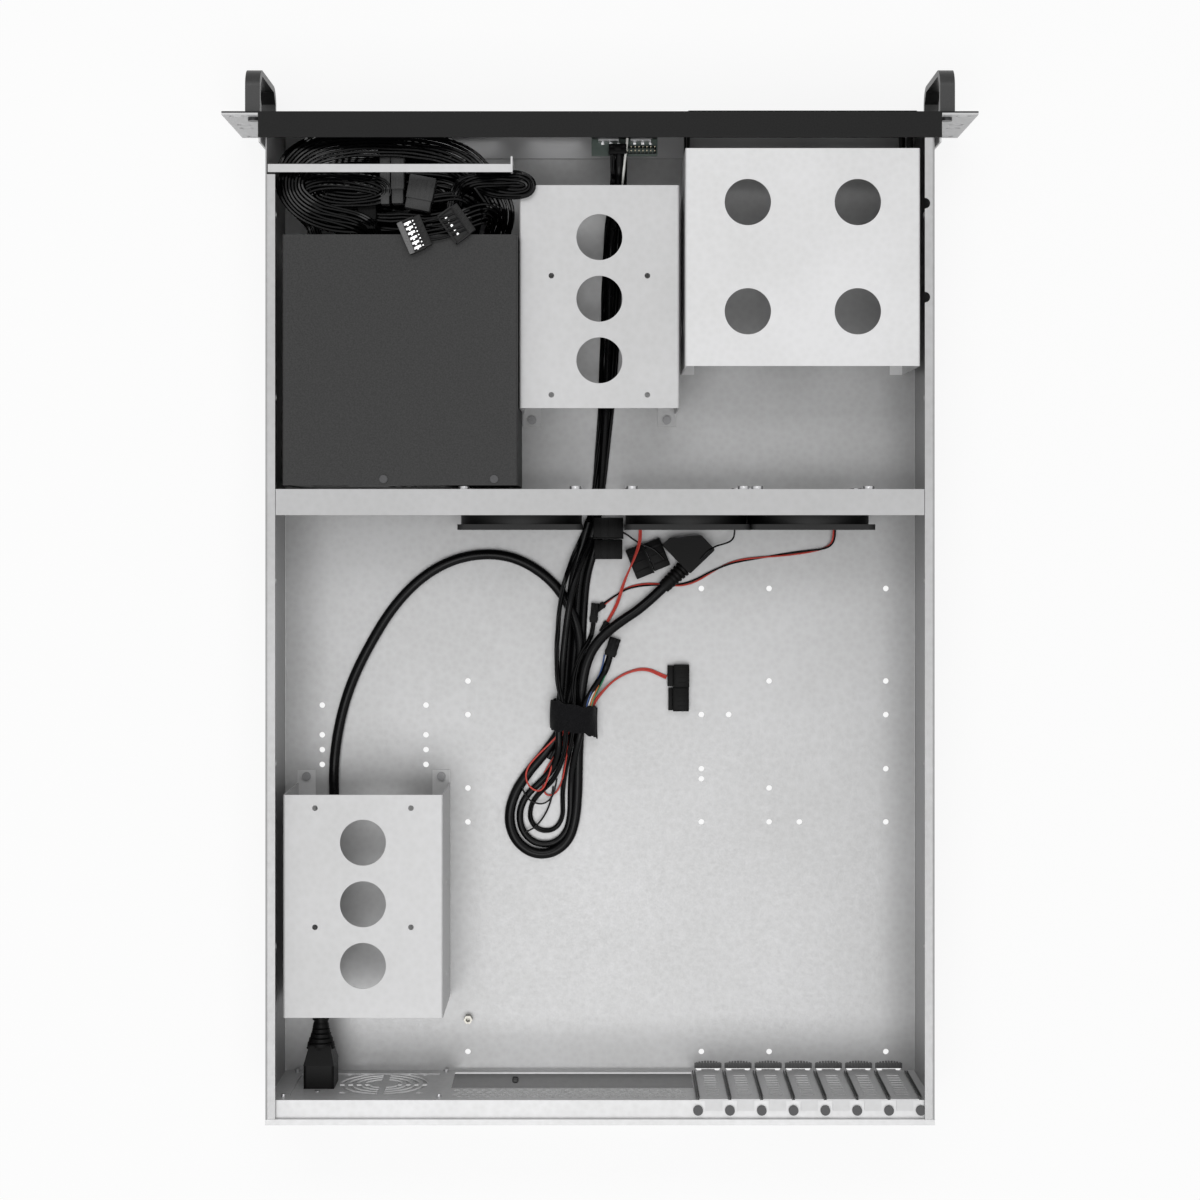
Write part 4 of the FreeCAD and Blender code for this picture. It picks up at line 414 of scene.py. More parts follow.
board_green, tree, shader = finish("board_green", (0.05, 0.075, 0.06), 0.0, 0.35)
tracks = new_node(tree, "TexBrick", Scale=300, Mortar_Size=0.03, Color1=(0.05, 0.07, 0.06, 1),
                  Color2=(0.06, 0.08, 0.07, 1), Mortar=(0.09, 0.12, 0.105, 1))
tree.links.new(on_surface(tree), tracks.inputs["Vector"])
tree.links.new(tracks.outputs["Color"], shader.inputs["Base Color"])
dress(board_green, "io_board")
lens_mould, tree, shader = finish("lens_mould", (0.75, 0.76, 0.72), 0.0, 0.16)
gloss(tree, speckle(tree, on_surface(tree), 900), 0.1, 0.22, shader)
dress(lens_mould, "status_leds")

gilt = turned_metal("pin_gilt", (0.72, 0.66, 0.5), 0.25)
solder = turned_metal("solder", (0.62, 0.62, 0.62), 0.25)
board_top, pin_pitch = 0.0536, 0.00254
first_pin, pin_rows, row_length = -0.0355, (-0.2905, -0.28796), 10
foot_and_pin = ((0.0011, 0.0024, 0.0002, 1), (0.00032, 0.0082, 0.0001, 0))
pins = []
for y in pin_rows:
    for count in range(row_length):
        x = first_pin + pin_pitch * count
        for half, tall, bevel, number in foot_and_pin:
            pins.append(block((x - half, y - half, board_top),
                              (x + half, y + half, board_top + tall), bevel, number))
pins += row(7, (0.0052, 0, 0), (-0.034, -0.2942, board_top), (-0.032, -0.2929, board_top + 0.0009),
            0.0001, 2)
assemble("board_pins", pins, [gilt, black_mould, solder])


# ---- rear flange and slot ends
# A bent flange of the same coated sheet runs along the floor outside the rear wall.  It and its
# screw are dark grey: painted shade from the ledge above.  The covers stand in pressed, ribbed
# louvres, dark grey for painted shade in their openings.  Dark strips stand beside the covers' long
# edges: painted shadow in the gaps between them.

# Dark grey: painted shade under the ledge.
painted_shade_flange = zinc("painted_shade_flange", 0.12, 0.2, 0.5)
assemble("rear_flange", [block((-0.214, 0.3237, 0.0006), (0.216, 0.3368, 0.0022), 0.0003)],
         [painted_shade_flange])
# Dark screw: painted shade under the ledge.
flange_screw = turned_metal("painted_shade_flange_screw", (0.05, 0.05, 0.05), 0.4)
head = [block((0.055, 0.3268, 0.002), (0.059, 0.3308, 0.0034), 0.0012),
        block((0.0554, 0.3285, 0.0032), (0.0586, 0.3291, 0.0036), 0.0001)]
assemble("flange_screw", head, [flange_screw])

first_slot, slot_pitch = -0.0728, 0.02032
rib_pitch, rib_half, louvre_y, louvre_half, louvre_reach = 0.0019, 0.0007, 0.3188, 0.0092, 0.0026
# Dark grey: painted shade in the louvre openings.
painted_shade_louvre = zinc("painted_shade_louvre", 0.1, 0.2, 0.5)
for number in range(slot_count):
    x = first_slot - slot_pitch * number
    parts = []
    for rib in range(-4, 5):
        off = rib_pitch * rib
        reach = louvre_reach * math.sqrt(1 - (off / louvre_half) ** 2)
        parts.append(block((x + off - rib_half, louvre_y - reach, 0.0004),
                           (x + off + rib_half, louvre_y + reach, 0.0015), 0.0003))
    base = block((x - louvre_half, 0.3176, 0.0004), (x + louvre_half, 0.3214, 0.0013), 0.0004)
    assemble("slot_louvre_%d" % (number + 1), parts + [base], [painted_shade_louvre])
# Dark strips beside each cover's long edges: painted shadow in the gaps between the covers.
painted_gap_shade = zinc("painted_gap_shade", 0.05, 0.2, 0.5)
shade_gap, shade_thick = 0.0003, 0.0008
for number in range(slot_count + 1):
    x = first_slot + slot_pitch / 2 - slot_pitch * number
    shade_strips = [block((x + side, 0.3202, 0.012), (x + side + shade_thick, 0.3216, 0.0835))
             for side in (-shade_gap - shade_thick, shade_gap)]
    assemble("slot_gap_shade_%d" % (number + 1), shade_strips, [painted_gap_shade])


# ---- mains cord
# Round rubber-sheathed cord.  It drops out of the plug behind the inlet, goes round the tray into
# the tied bundle, doubles back and ends in an angled plug.

def millimetres(*points):
    """These points in metres."""
    return [tuple(value / 1000 for value in point) for point in points]


def smooth_line(name, points, radius=0.0, steps=10):
    """One open smooth curve with these control points."""
    curve = bpy.data.curves.new(name, "CURVE")
    curve.dimensions = "3D"
    line = curve.splines.new("NURBS")
    line.points.add(len(points) - 1)
    for control, point in zip(line.points, points):
        control.co = (*point, 1)
    line.order_u = 3
    line.use_endpoint_u = True
    line.resolution_u = steps
    curve.bevel_depth = radius
    curve.bevel_resolution = 6
    curve.use_fill_caps = radius > 0
    made = bpy.data.objects.new(name, curve)
    scene.collection.objects.link(made)
    return made


def round_cord(name, points, radius, sheath, replaced=()):
    """A single round cord along its route."""
    made = smooth_line(name, points, radius)
    made.data.materials.append(sheath)
    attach(made, "case")
    if replaced:
        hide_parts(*replaced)
    return made


def rubber(name, colour, roughness=0.3, specular=0.5):
    """Soft sheath: faint drag marks and dull patches from the handling."""
    material, tree, shader = finish(name, colour, 0.0, roughness, specular)
    place = on_surface(tree)
    drag = speckle(tree, place, 420, 3)
    tones(tree, drag, tuple(0.8 * c for c in colour), tuple(1.25 * c for c in colour), shader)
    gloss(tree, speckle(tree, place, 60), roughness - 0.06, roughness + 0.12, shader)
    raised(tree, shader, drag, 0.00003, 0.3)
    return material


sheath = rubber("black_sheath", (0.003, 0.003, 0.0033), 0.2, 0.13)
mains_route = millimetres(
    (184, 278.65, 36), (184, 262, 36), (183.5, 243, 30.5), (182, 222, 18.5), (180.5, 200, 8),
    (181.5, 176, 4.7), (178.5, 147, 4.6), (179.5, 116, 4.6), (175.5, 88, 4.6), (168, 62, 4.6),
    (156, 37, 4.6), (139, 9, 4.6), (117, -13, 4.6), (91, -25, 4.6), (61, -25.5, 4.6),
    (34, -10.5, 4.6), (17, 14, 4.6), (12, 40, 4.6), (17, 61, 5.6), (22.5, 77, 6.8), (26, 93, 6.8),
    (37, 108, 5.2), (49, 122, 4.6), (58.5, 137, 4.6), (61.8, 153, 4.6), (57.1, 167.4, 4.6),
    (45.5, 176.3, 4.6), (32, 176, 4.6), (21, 167.4, 4.6), (16.5, 153, 4.6),
    (15, 133, 4.6), (14.8, 113, 5.4), (14, 95, 7.6), (13, 77, 8.2), (12, 60, 12.6),
    (8, 43, 13.2), (-0.5, 30, 12.8), (-14.5, 19, 10.5), (-28.5, 10.2, 9), (-42.5, -3.2, 9))
mains_cord = round_cord("mains_cord", mains_route, 0.0034, sheath, ["power_cord"])


def skin_of(rings, sides):
    """Faces round a closed tube, and over its ends, whose rings of points follow one another."""
    faces = []
    for ring in range(rings - 1):
        for step in range(sides):
            after = (step + 1) % sides
            faces.append([ring * sides + step, (ring + 1) * sides + step,
                          (ring + 1) * sides + after, ring * sides + after])
    faces.append(list(range(sides)))
    faces.append([(rings - 1) * sides + step for step in range(sides - 1, -1, -1)])
    return faces


def ring_points(middle, side, up, radius, sides):
    """Points of one round ring."""
    angles = [2 * math.pi * step / sides for step in range(sides)]
    return [middle + (side * math.cos(angle) + up * math.sin(angle)) * radius for angle in angles]


def relief(name, at, along, sizes, material):
    """Ribbed tapered sleeve of a moulded plug: distances and radii along the cord."""
    along = Vector(along).normalized()
    side = along.cross(Vector((0, 0, 1))).normalized()
    up = along.cross(side)
    sides, points = 28, []
    for distance, radius in sizes:
        points += ring_points(Vector(at) + along * distance, side, up, radius, sides)
    return assemble(name, [(points, skin_of(len(sizes), sides), 0)], [material])


rib_spacing = 0.0029
ribs = [(0, 0.0037), (0.001, 0.0041)]
for count in range(6):
    start = 0.0022 + rib_spacing * count
    swell = 0.0046 + 0.0002 * count
    ribs += [(start, swell - 0.0004), (start + 0.0003, swell), (start + 0.0017, swell),
             (start + 0.002, swell - 0.0004), (start + 0.0021, 0.0042)]
plug_relief = relief("mains_plug_relief", mains_route[-1], (-14, -13.4, 0),
                     ribs + [(0.021, 0.0052)], inlet_mould)
flare_steps = ((0.0215, 0.0052), (0.0245, 0.0058), (0.0275, 0.0067), (0.0305, 0.0078),
               (0.0335, 0.0088))
flare = [(distance + 0.002 * part, radius + 0.00035 * (part == 1))
         for distance, radius in flare_steps for part in (0, 0.2, 1, 1.2)]
inlet_relief = relief("inlet_plug_relief", (0.184, 0.2625, 0.036), (0, 1, 0),
                      ribs + flare + [(0.037, 0.0096)], inlet_mould)
dress(inlet_mould, "power_plug")


# ---- panel cable
# A thinner sheathed cable from the front board, through the gap in the fan wall, into the bundle.
# Its black housing has a row of square cavities for the board's pins.

def housing(name, at, turn, size, cavities, replaced=()):
    """Connector housing: side ribs, a latch and open cavities at its far end.  at is the middle of
    the end that the wires enter, and size is length, width and height."""
    length, width, height = size
    wall, half, low, high = 0.0006, width / 2, -height / 2, height / 2
    solid = length - min(0.35 * length, 0.004)
    parts = [block((0, -half, low), (solid, half, high), 0.0003),
             block((solid, -half, low), (length, half, low + wall), 0.0001),
             block((solid, -half, high - wall), (length, half, high), 0.0001),
             block((length * 0.12, -half - 0.0003, low + 0.0008),
                   (length * 0.3, half + 0.0003, high - 0.0004)),
             block((length * 0.35, -half * 0.35, high - 0.0002),
                   (length * 0.85, half * 0.35, high + 0.0005))]
    parts += row(cavities + 1, (0, (width - wall) / cavities, 0), (solid, -half, low),
                 (length, wall - half, high), 0.0001)
    return assemble(name, parts, [black_mould], replaced, at, turn)


panel_route = millimetres(
    (-12.4, -285.55, 59), (-12.4, -276.5, 59), (-12, -268, 54.5), (-11.5, -261, 45.5),
    (-10.5, -255.5, 33.5), (-9.3, -249, 22), (-8, -240, 12), (-7, -227, 5.5), (-6.4, -207, 3.8),
    (-6.3, -180, 3.7), (-5, -152, 3.7), (-4.2, -124, 3.7), (-2.4, -98, 3.7), (-1, -76, 3.8),
    (1, -54, 3.8), (5.5, -35, 5.5), (13.5, -18, 11), (18.5, -3, 15), (21.5, 15, 15.2),
    (23.5, 31, 11), (25, 46, 8.5), (26, 62, 10.5), (27.3, 77, 13.6), (27.5, 93, 13.9),
    (27.5, 106, 12), (31, 118, 6.5), (40, 128, 3.7), (50, 137, 3.7), (54.7, 148.5, 3.7),
    (52.7, 161, 3.7), (44, 169.5, 3.7), (31.5, 170, 3.7), (22.3, 162, 3.7), (19.6, 149, 3.7),
    (19.6, 135, 3.9), (19, 120, 7.2), (16, 106, 12.2), (12.8, 93, 15.2), (11.3, 79, 15.3),
    (6.2, 67.5, 13.8), (0, 58.5, 8.5), (-4.6, 51, 4.2), (-6.5, 43, 4.2))
panel_cable = round_cord("sheathed_panel_cable", panel_route, 0.0023, sheath, ["panel_cable"])
board_housing = housing("board_housing", (-0.0115, -0.2855, 0.059), math.radians(-90),
                        (0.0064, 0.0114, 0.0088), 4)
panel_housing = housing("panel_housing", panel_route[-1], math.atan2(-8, -2.6),
                        (0.0125, 0.0076, 0.0056), 3, ["header_plugs"])


# ---- switch leads
# Five thin loose wires for the button and lamps, twisted a little, run beside the panel cable and
# end in a slim housing.  Four short coloured wires come out of the bundle to the panel cable's
# own housing.

def followed(points, steps=6):
    """Points along the smooth line through this route."""
    made = smooth_line("line", points, 0.0, steps)
    mesh = bpy.data.meshes.new_from_object(made)
    found = [point.co.copy() for point in mesh.vertices]
    curve = made.data
    bpy.data.objects.remove(made)
    bpy.data.curves.remove(curve)
    bpy.data.meshes.remove(mesh)
    return found


def wires(line, spots, thick, twist=0.0, wander=0.0, sides=8):
    """Round wires beside a line.  Each spot is its place across and above the line, and its
    material number; twist is in turns a metre and wander is how far a wire strays."""
    parts = [([], skin_of(len(line), sides), spot[2]) for spot in spots]
    side = Vector((1, 0, 0))
    nearly_upright, swing = 0.25, 0.6
    gone = 0.0
    for index, point in enumerate(line):
        before = line[max(index - 1, 0)]
        after = line[min(index + 1, len(line) - 1)]
        along = (after - before).normalized()
        level = along.cross(Vector((0, 0, 1)))
        if level.length > nearly_upright:
            level.normalize()
            if level.dot(side) < 0:
                level = -level
            side = (side + swing * level).normalized()
        side = (side - along * side.dot(along)).normalized()
        up = along.cross(side)
        if index:
            gone += (point - before).length
        turned = 2 * math.pi * twist * gone
        for number, (across, above, _) in enumerate(spots):
            # each wire strays in waves of its own length
            x = across + wander * math.sin(gone * (70 + 23 * number) + 2.1 * number)
            y = above + wander * math.sin(gone * (95 + 17 * number) + 1.3 * number)
            middle = (point + side * (x * math.cos(turned) - y * math.sin(turned))
                      + up * (x * math.sin(turned) + y * math.cos(turned)))
            parts[number][0].extend(ring_points(middle, side, up, thick, sides))
    return parts


def wire_skin(name, colour, roughness=0.32, specular=0.4):
    """Thin smooth insulation with faint scuffs."""
    material, tree, shader = finish(name, colour, 0.0, roughness, specular)
    scuff = speckle(tree, on_surface(tree), 700)
    mottled(tree, shader, scuff, colour, (0.85, 1.12), roughness - 0.05, roughness + 0.1)
    return material


black_skin = wire_skin("black_insulation", (0.0018, 0.0018, 0.002), 0.11, 0.2)
red_skin = wire_skin("red_insulation", (0.52, 0.045, 0.03))
blue_skin = wire_skin("blue_insulation", (0.03, 0.08, 0.25))
white_skin = wire_skin("white_insulation", (0.75, 0.75, 0.72))
orange_skin = wire_skin("orange_insulation", (0.6, 0.16, 0.03))
green_skin = wire_skin("green_insulation", (0.03, 0.2, 0.09))
skins = [black_skin, red_skin, blue_skin, white_skin, orange_skin, green_skin]

switch_route = millimetres(
    (-8.4, -285.55, 59), (-8.4, -276.5, 59), (-8.2, -268, 54.5), (-7.6, -261, 45.5),
    (-6.4, -255.5, 33.5), (-5.4, -249, 22), (-4.4, -240, 12), (-3.6, -227, 5), (-2.8, -207, 3),
    (-2.2, -180, 3), (-1, -152, 3), (-0.4, -124, 3), (1.4, -98, 3), (3, -76, 3.1),
    (5, -54, 3.1), (12.5, -36, 5), (20, -19, 10.8), (25, -3, 14.6), (27.6, 15, 14.6),
    (28.6, 31, 10.5), (29.2, 48, 9.8), (28.2, 62, 16.8), (24, 77, 17.2), (22.6, 93, 16),
    (23.5, 106, 13), (27, 117, 9.4), (32, 127.5, 4.8), (40, 134.5, 3.1), (46.5, 143, 3),
    (47.5, 153.5, 3), (40.5, 161, 3), (30.5, 160.5, 3), (25, 152, 3), (25.3, 140, 3),
    (24.8, 129, 3), (23, 118, 4.2), (20.4, 106, 9.8), (18.4, 93, 15.2), (17.8, 78, 15.6),
    (17.6, 63, 14.8), (16.3, 50.5, 12.8), (12.6, 41, 11.8), (8, 34, 9), (5.2, 27.5, 4.2),
    (4.5, 20.5, 4.2))
switch_line = followed(switch_route)
lead_count, lead_spread = 5, 0.0011
angles = [2 * math.pi * number / lead_count for number in range(lead_count)]
spots = [(lead_spread * math.cos(angle), lead_spread * math.sin(angle), 0) for angle in angles]
switch_leads = assemble("switch_wires", wires(switch_line, spots, 0.00065, 9, 0.0001, 7), skins,
                        ["switch_leads"])
switch_housing = housing("switch_housing", switch_route[-1], math.atan2(-7, -0.7),
                         (0.013, 0.0052, 0.0056), 2)

tail_route = millimetres((8, 84, 17), (7.6, 77, 17.4), (5.4, 70, 16), (1.6, 62.5, 12.2),
                         (-1.4, 56, 8), (-3.2, 50.5, 5), (-4, 46, 4.4), (-4.6, 42.5, 4.4))
tail_line = followed(tail_route)
spots = [(0.0016, 0, 2), (0.0005, 0, 3), (-0.0006, 0, 4), (-0.0017, 0, 5)]
colour_leads = assemble("colour_wires", wires(tail_line, spots, 0.0005, 0, 0.0002, 7), skins)


# ---- front flat cable and wall cables
# A flat three-core cable runs beside the panel cable, up to the board, with one thin pale wire.
# Three more round black cables come through the gap in the wall and lie flat beside the bundle.

flat_route = followed(millimetres(
    (-14.4, -285.5, 57), (-14.4, -277, 57), (-14.2, -267, 51), (-13.8, -259, 38), (-13.2, -251, 22),
    (-12.2, -240, 8), (-11.4, -226, 3.4), (-11.2, -205, 2.6), (-10.4, -180, 2.6), (-8.6, -152, 2.6),
    (-6.4, -124, 2.6), (-3.6, -98, 2.6), (-1, -76, 2.8), (1.5, -58, 4.5), (3, -47, 6)))
core_pitch = 0.0022
cores = [(core_pitch * place, 0, 0) for place in (-1, 0, 1)]
flat_cable = assemble("front_flat_cable", wires(flat_route, cores, 0.0012, 0, 0.0001, 10), skins)
board_wire = millimetres((-17.8, -296.5, 63), (-17.2, -290, 62.5), (-16.4, -284, 60.5),
                         (-15.6, -277, 59), (-14.8, -269, 56), (-13.6, -261, 46.5))


def lone_wire(name, route, radius=0.0006, skin=black_skin):
    """A single wire or cable whose far end goes back among the others."""
    made = round_cord(name, route, radius, skin)


lone_wire("board_wire", board_wire, 0.0008, white_skin)

for number, across in enumerate((0, -5, -9.6), 1):
    route = millimetres((7.6 + across, -47.5, 8), (9.6 + across, -40, 6), (14 + across, -26, 3.4),
                        (18.4 + across, -11, 2.8), (20.4 + across, 10, 2.8), (21.4 + across, 33, 2.8),
                        (22.6 + 0.9 * across, 55, 4), (24.3 + 0.8 * across, 74, 6),
                        (26 + 0.7 * across, 90, 5), (30 + 0.5 * across, 102, 3.4),
                        (35 + 0.4 * across, 112, 2.8))
    lone_wire("wall_cable_%d" % number, route, 0.0025, sheath)


# ---- fan leads
# Each fan has a red and a black lead, lightly twisted, with a small housing at its end.  Two flat
# housings join the wall's own leads.

def pair(name, route, colours, thick, replaced, twist=14):
    """Two wires side by side."""
    line = followed(route)
    spots = [(thick, 0, colours[0]), (-thick, 0, colours[1])]
    made = assemble(name, wires(line, spots, thick, twist, 0.00008), skins, replaced)


fan_three_route = millimetres(
    (-157.5, -41.7, 7), (-157.5, -36.4, 7), (-155.4, -31.6, 5.2), (-150.5, -29, 3.2),
    (-142, -27.4, 2.4), (-129.5, -25.8, 2.4), (-109, -23.2, 2.4), (-90, -20.6, 2.4),
    (-76.5, -14.4, 2.4), (-64.5, -7.4, 2.4), (-54, -4.4, 2.4), (-44, -5, 2.4), (-34, -5.2, 2.4),
    (-25, -4.4, 2.4), (-15, -1.4, 2.4), (-3, 8, 2.4))
fan_two_route = millimetres(
    (-27, -41.7, 14), (-27, -36.4, 14), (-25.6, -30, 13.7), (-23.2, -23.5, 13.2),
    (-20.6, -17.3, 12), (-17.9, -11, 10.2), (-15.4, -4.5, 8.3), (-13.5, 2, 7.2),
    (-11.5, 8, 4.6), (-8.5, 14, 3), (-5, 20, 2.6))
fan_plug_size = (0.008, 0.004, 0.0044)
three_end = housing("fan_housing_3", fan_three_route[-1], math.atan2(9.4, 12), fan_plug_size, 2)
two_end = housing("fan_housing_2", fan_two_route[-1], math.atan2(6, 3.5), fan_plug_size, 2)
pair("fan_pair_3", fan_three_route, (1, 0), 0.0006, ["fan_lead_3"])
pair("fan_pair_2", fan_two_route, (1, 1), 0.0006, ["fan_lead_2"], 9)


def flat_housing(name, at, turn, size, replaced=()):
    """Flat joining housing: a stepped shell with a lip, side ribs and a split across it."""
    length, width, height = size
    split = length * 0.52
    parts = [block((0, 0, 0), (split - 0.0002, width, height), 0.0006),
             block((split + 0.0002, 0.0006, 0.0002), (length, width - 0.0006, height - 0.0006),
                   0.0006),
             block((split - 0.0012, -0.0003, 0.0004), (split - 0.0002, width, height + 0.0002))]
    first, pitch = width * 0.22, (0, width * 0.28, 0)
    parts += row(3, pitch, (0.001, first - 0.0006, height - 0.0002),
                 (split - 0.002, first + 0.0006, height + 0.0003))
    parts += row(3, pitch, (split + 0.0016, first - 0.0008, height - 0.0008),
                 (length - 0.001, first + 0.0008, height - 0.0003))
    return assemble(name, parts, [black_mould], replaced, at, math.radians(turn))


gap_housing = flat_housing("gap_housing", (0.0044, -0.050, 0.0082), 90, (0.0278, 0.020, 0.009),
                           ["fan_plugs"])
link_housing = flat_housing("link_housing", (-0.0249, -0.0085, 0.0012), -157.8,
                            (0.0245, 0.021, 0.0084))
link_route = millimetres((-15.4, -40, 12.5), (-18.5, -38.5, 12.2), (-22, -35.6, 11.2),
                         (-28, -32, 10.6), (-34, -30, 10.4), (-39, -26.5, 10.4), (-43, -22, 10.4))
lone_wire("link_wire", link_route)
lone_wire("plug_wire", millimetres(
    (-90, -41.8, 15), (-90, -38, 14.6), (-88.2, -34.6, 13), (-84, -32.6, 11), (-79, -31.4, 10),
    (-74.5, -29.5, 17.6), (-70.5, -26, 17.4), (-67, -22, 17.4)))


# ---- drive lead
# A red pair comes out of the bundle to a small flat power connector and the one it is joined to.
# Both housings are black mouldings that clip together and lie on the floor of the tray.

drive_route = millimetres(
    (7, 94, 12), (6.8, 84, 12.2), (5, 75, 11.6), (-1, 67.5, 8.4), (-8.5, 60, 4.6),
    (-17.5, 54.5, 2.6), (-27, 51.8, 2.5), (-34, 52.6, 2.5), (-39.6, 55.4, 2.5), (-44.8, 57.6, 2.5))


def step_housing(name, low, high, lip, replaced=()):
    """Small connector with a raised top plate, a lip down one side and a row of grooves."""
    (x0, y0, z0), (x1, y1, z1) = low, high
    step = x1 - lip
    parts = [block((x0, y0, z0), (step, y1, z1 - 0.0006), 0.0004),
             block((step, y0 + 0.0006, z0), (x1, y1 - 0.0006, z0 + 0.62 * (z1 - z0)), 0.0003),
             block((x0 + 0.0008, y0 + 0.0008, z1 - 0.001), (step - 0.0006, y1 - 0.0008, z1), 0.0003)]
    first, pitch = y0 + 0.16 * (y1 - y0), (0, 0.2 * (y1 - y0), 0)
    parts += row(4, pitch, (step - 0.0002, first, z0 + 0.0012),
                 (step + 0.0004, first + 0.0012, z1 - 0.0012), 0.0001)
    parts += row(4, pitch, (x0 + 0.002, first, z1 - 0.0002),
                 (step - 0.003, first + 0.0007, z1 + 0.0002), 0.0001)
    return assemble(name, parts, [black_mould], replaced)


drive_housing = step_housing("drive_housing", (-0.060, 0.0488, 0.0012), (-0.0454, 0.0640, 0.0090),
                             0.0042, ["drive_plugs"])
drive_mate = step_housing("drive_joined_housing", (-0.0598, 0.0640, 0.0012),
                          (-0.046, 0.0802, 0.008), 0.003)
pair("drive_pair", drive_route, (1, 1), 0.0007, ["drive_lead"], 6)


# ---- spare loops
# Spare ends of two red and two black wires lie in small loops inside the tied turns.  Each is a
# single thin insulated wire.

for number, (length, colour, route) in enumerate((
        (0.106, red_skin, millimetres(
            (24, 92, 11.5), (27.5, 101, 9.5), (31, 112, 8.4), (34.5, 124, 8.6), (39, 134, 8.4),
            (46, 132.5, 8.2), (50.2, 125.5, 8.6), (48.8, 117.5, 9), (42.5, 110, 9.4), (34, 102, 9.8),
            (27.5, 95, 11.2), (24.5, 87, 12))),
        (0.110, red_skin, millimetres(
            (20, 92, 11), (24, 100, 8), (29, 108, 5.6), (35, 117, 3.4), (39.5, 126, 3),
            (37.5, 137, 3), (30.5, 137, 2.9), (25.4, 128, 3.6), (23.4, 116, 6.8), (21.4, 104, 10.4),
            (19.5, 93, 12), (19, 86, 12.4))),
        (0.040, black_skin, millimetres(
            (52.5, 131, 7.6), (50, 137.5, 8.2), (44.5, 141.5, 8), (38, 142.5, 8), (32.5, 138.5, 8),
            (30, 132, 8), (29, 125, 8))),
        (0.039, black_skin, millimetres(
            (51, 161.5, 7), (47, 160, 7.6), (42.5, 157, 7.2), (38, 151.5, 5.4), (34.5, 145, 3),
            (32.5, 138, 2.6), (31.5, 131, 2.6)))), 1):
    lone_wire("spare_wire_%d" % number, route, skin=colour)


# ---- cable strap
# A woven hook-and-loop band, wrapped once round the bundle, with its free end standing out.  Its
# edges wave a little, because it is pulled tight over uneven wires.

band_cloth, tree, shader = finish("hook_and_loop", (0.005, 0.005, 0.0055), 0.0, 0.9, 0.1)
set_up(shader, Sheen_Weight=0.08, Sheen_Roughness=0.5)
nap = cells(tree, on_surface(tree), 1700)
tones(tree, nap, (0.0025, 0.0025, 0.003), (0.010, 0.010, 0.011), shader)
raised(tree, shader, nap, 0.0003, 0.9)


def squarish(value, power):
    """Push a circle's cosine or sine out towards that of a rounded rectangle."""
    return math.copysign(abs(value) ** power, value)


band_x, band_y, band_wide, band_thick = 0.018, 0.0745, 0.019, 0.0013
rounds, free_end, across = 72, 14, 12
start = math.radians(200)
outer_first = ([(step / across, band_thick) for step in range(across + 1)]
               + [(step / across, 0.0) for step in range(across, -1, -1)])
points = []
for ring in range(rounds + free_end):
    loose = max(0, ring - rounds) / free_end
    if loose:
        middle = Vector((0.0046 - 0.0024 * loose, 0, 0.0079 - 0.0052 * loose ** 0.7))
        normal = Vector((-0.5, 0, 0.8)).normalized()
    else:
        angle = 2 * math.pi * ring / rounds + start
        middle = Vector((band_x + 0.0141 * squarish(math.cos(angle), 0.62), 0,
                         0.0111 + 0.0091 * squarish(math.sin(angle), 0.62)))
        normal = Vector((math.cos(angle), 0, math.sin(angle)))
    edge = 0.0006 * math.sin(ring * 0.9) + 0.0007 * math.sin(ring * 0.31 + 1.2)
    for share, out_by in outer_first:
        lift = 0.0003 * math.sin(ring * 0.55 + share * 4)
        y = (band_y + band_wide * share + edge * (2 * share - 1) - 0.16 * (middle.x - band_x)
             + 0.002 * loose)
        points.append(middle + normal * (out_by + lift) + Vector((0, y, 0)))
band = (points, skin_of(rounds + free_end, len(outer_first)), 0)
assemble("hook_and_loop_band", [band], [band_cloth], ["cable_strap"])


# ---- supply looms
# Black insulated wires leave the power supply in flat looms and round ones.  Their spare length
# is folded into ovals in front of it, and their connectors lie on top.

def loom(name, route, spots, thick, replaced=(), twist=0, wander=0.0003):
    """Black wires of this half thickness at these spots along a route in millimetres."""
    route = millimetres(*route)
    line = followed(route, 5)
    made = assemble(name, wires(line, spots, thick, twist, wander, 6), [black_skin],
                    replaced)


def ribbon(count, pitch):
    """Wires side by side."""
    return [((number - (count - 1) / 2) * pitch, 0.0001 * (number % 2), 0)
            for number in range(count)]


def bunch(rows, pitch):
    """Wires stacked in rows."""
    return [((number - (count - 1) / 2) * pitch, (level - (len(rows) - 1) / 2) * pitch * 0.92, 0)
            for level, count in enumerate(rows) for number in range(count)]


def box_plug(name, low, high, grooves, replaced=(), turn=0, mould=None):
    """Moulded connector body with fine lengthwise grooves and a collar, stepped at the front."""
    wide, deep, tall = Vector(high) - Vector(low)
    parts = [block((0, 0, 0), (wide, deep * 0.7, tall), 0.0004),
             block((0.0005, deep * 0.7 - 0.0002, 0.0005), (wide - 0.0005, deep, tall - 0.0007),
                   0.0004),
             block((-0.0003, 0.001, 0.001), (wide + 0.0003, 0.003, tall - 0.001), 0.0003)]
    first = wide / 2 / grooves
    parts += row(grooves, (wide / grooves, 0, 0), (first - 0.0006, deep * 0.12, tall - 0.0002),
                 (first + 0.0006, deep * 0.64, tall + 0.0002), 0.0001)
    return assemble(name, parts, [mould or plug_grey], replaced, low,
                    math.radians(turn))


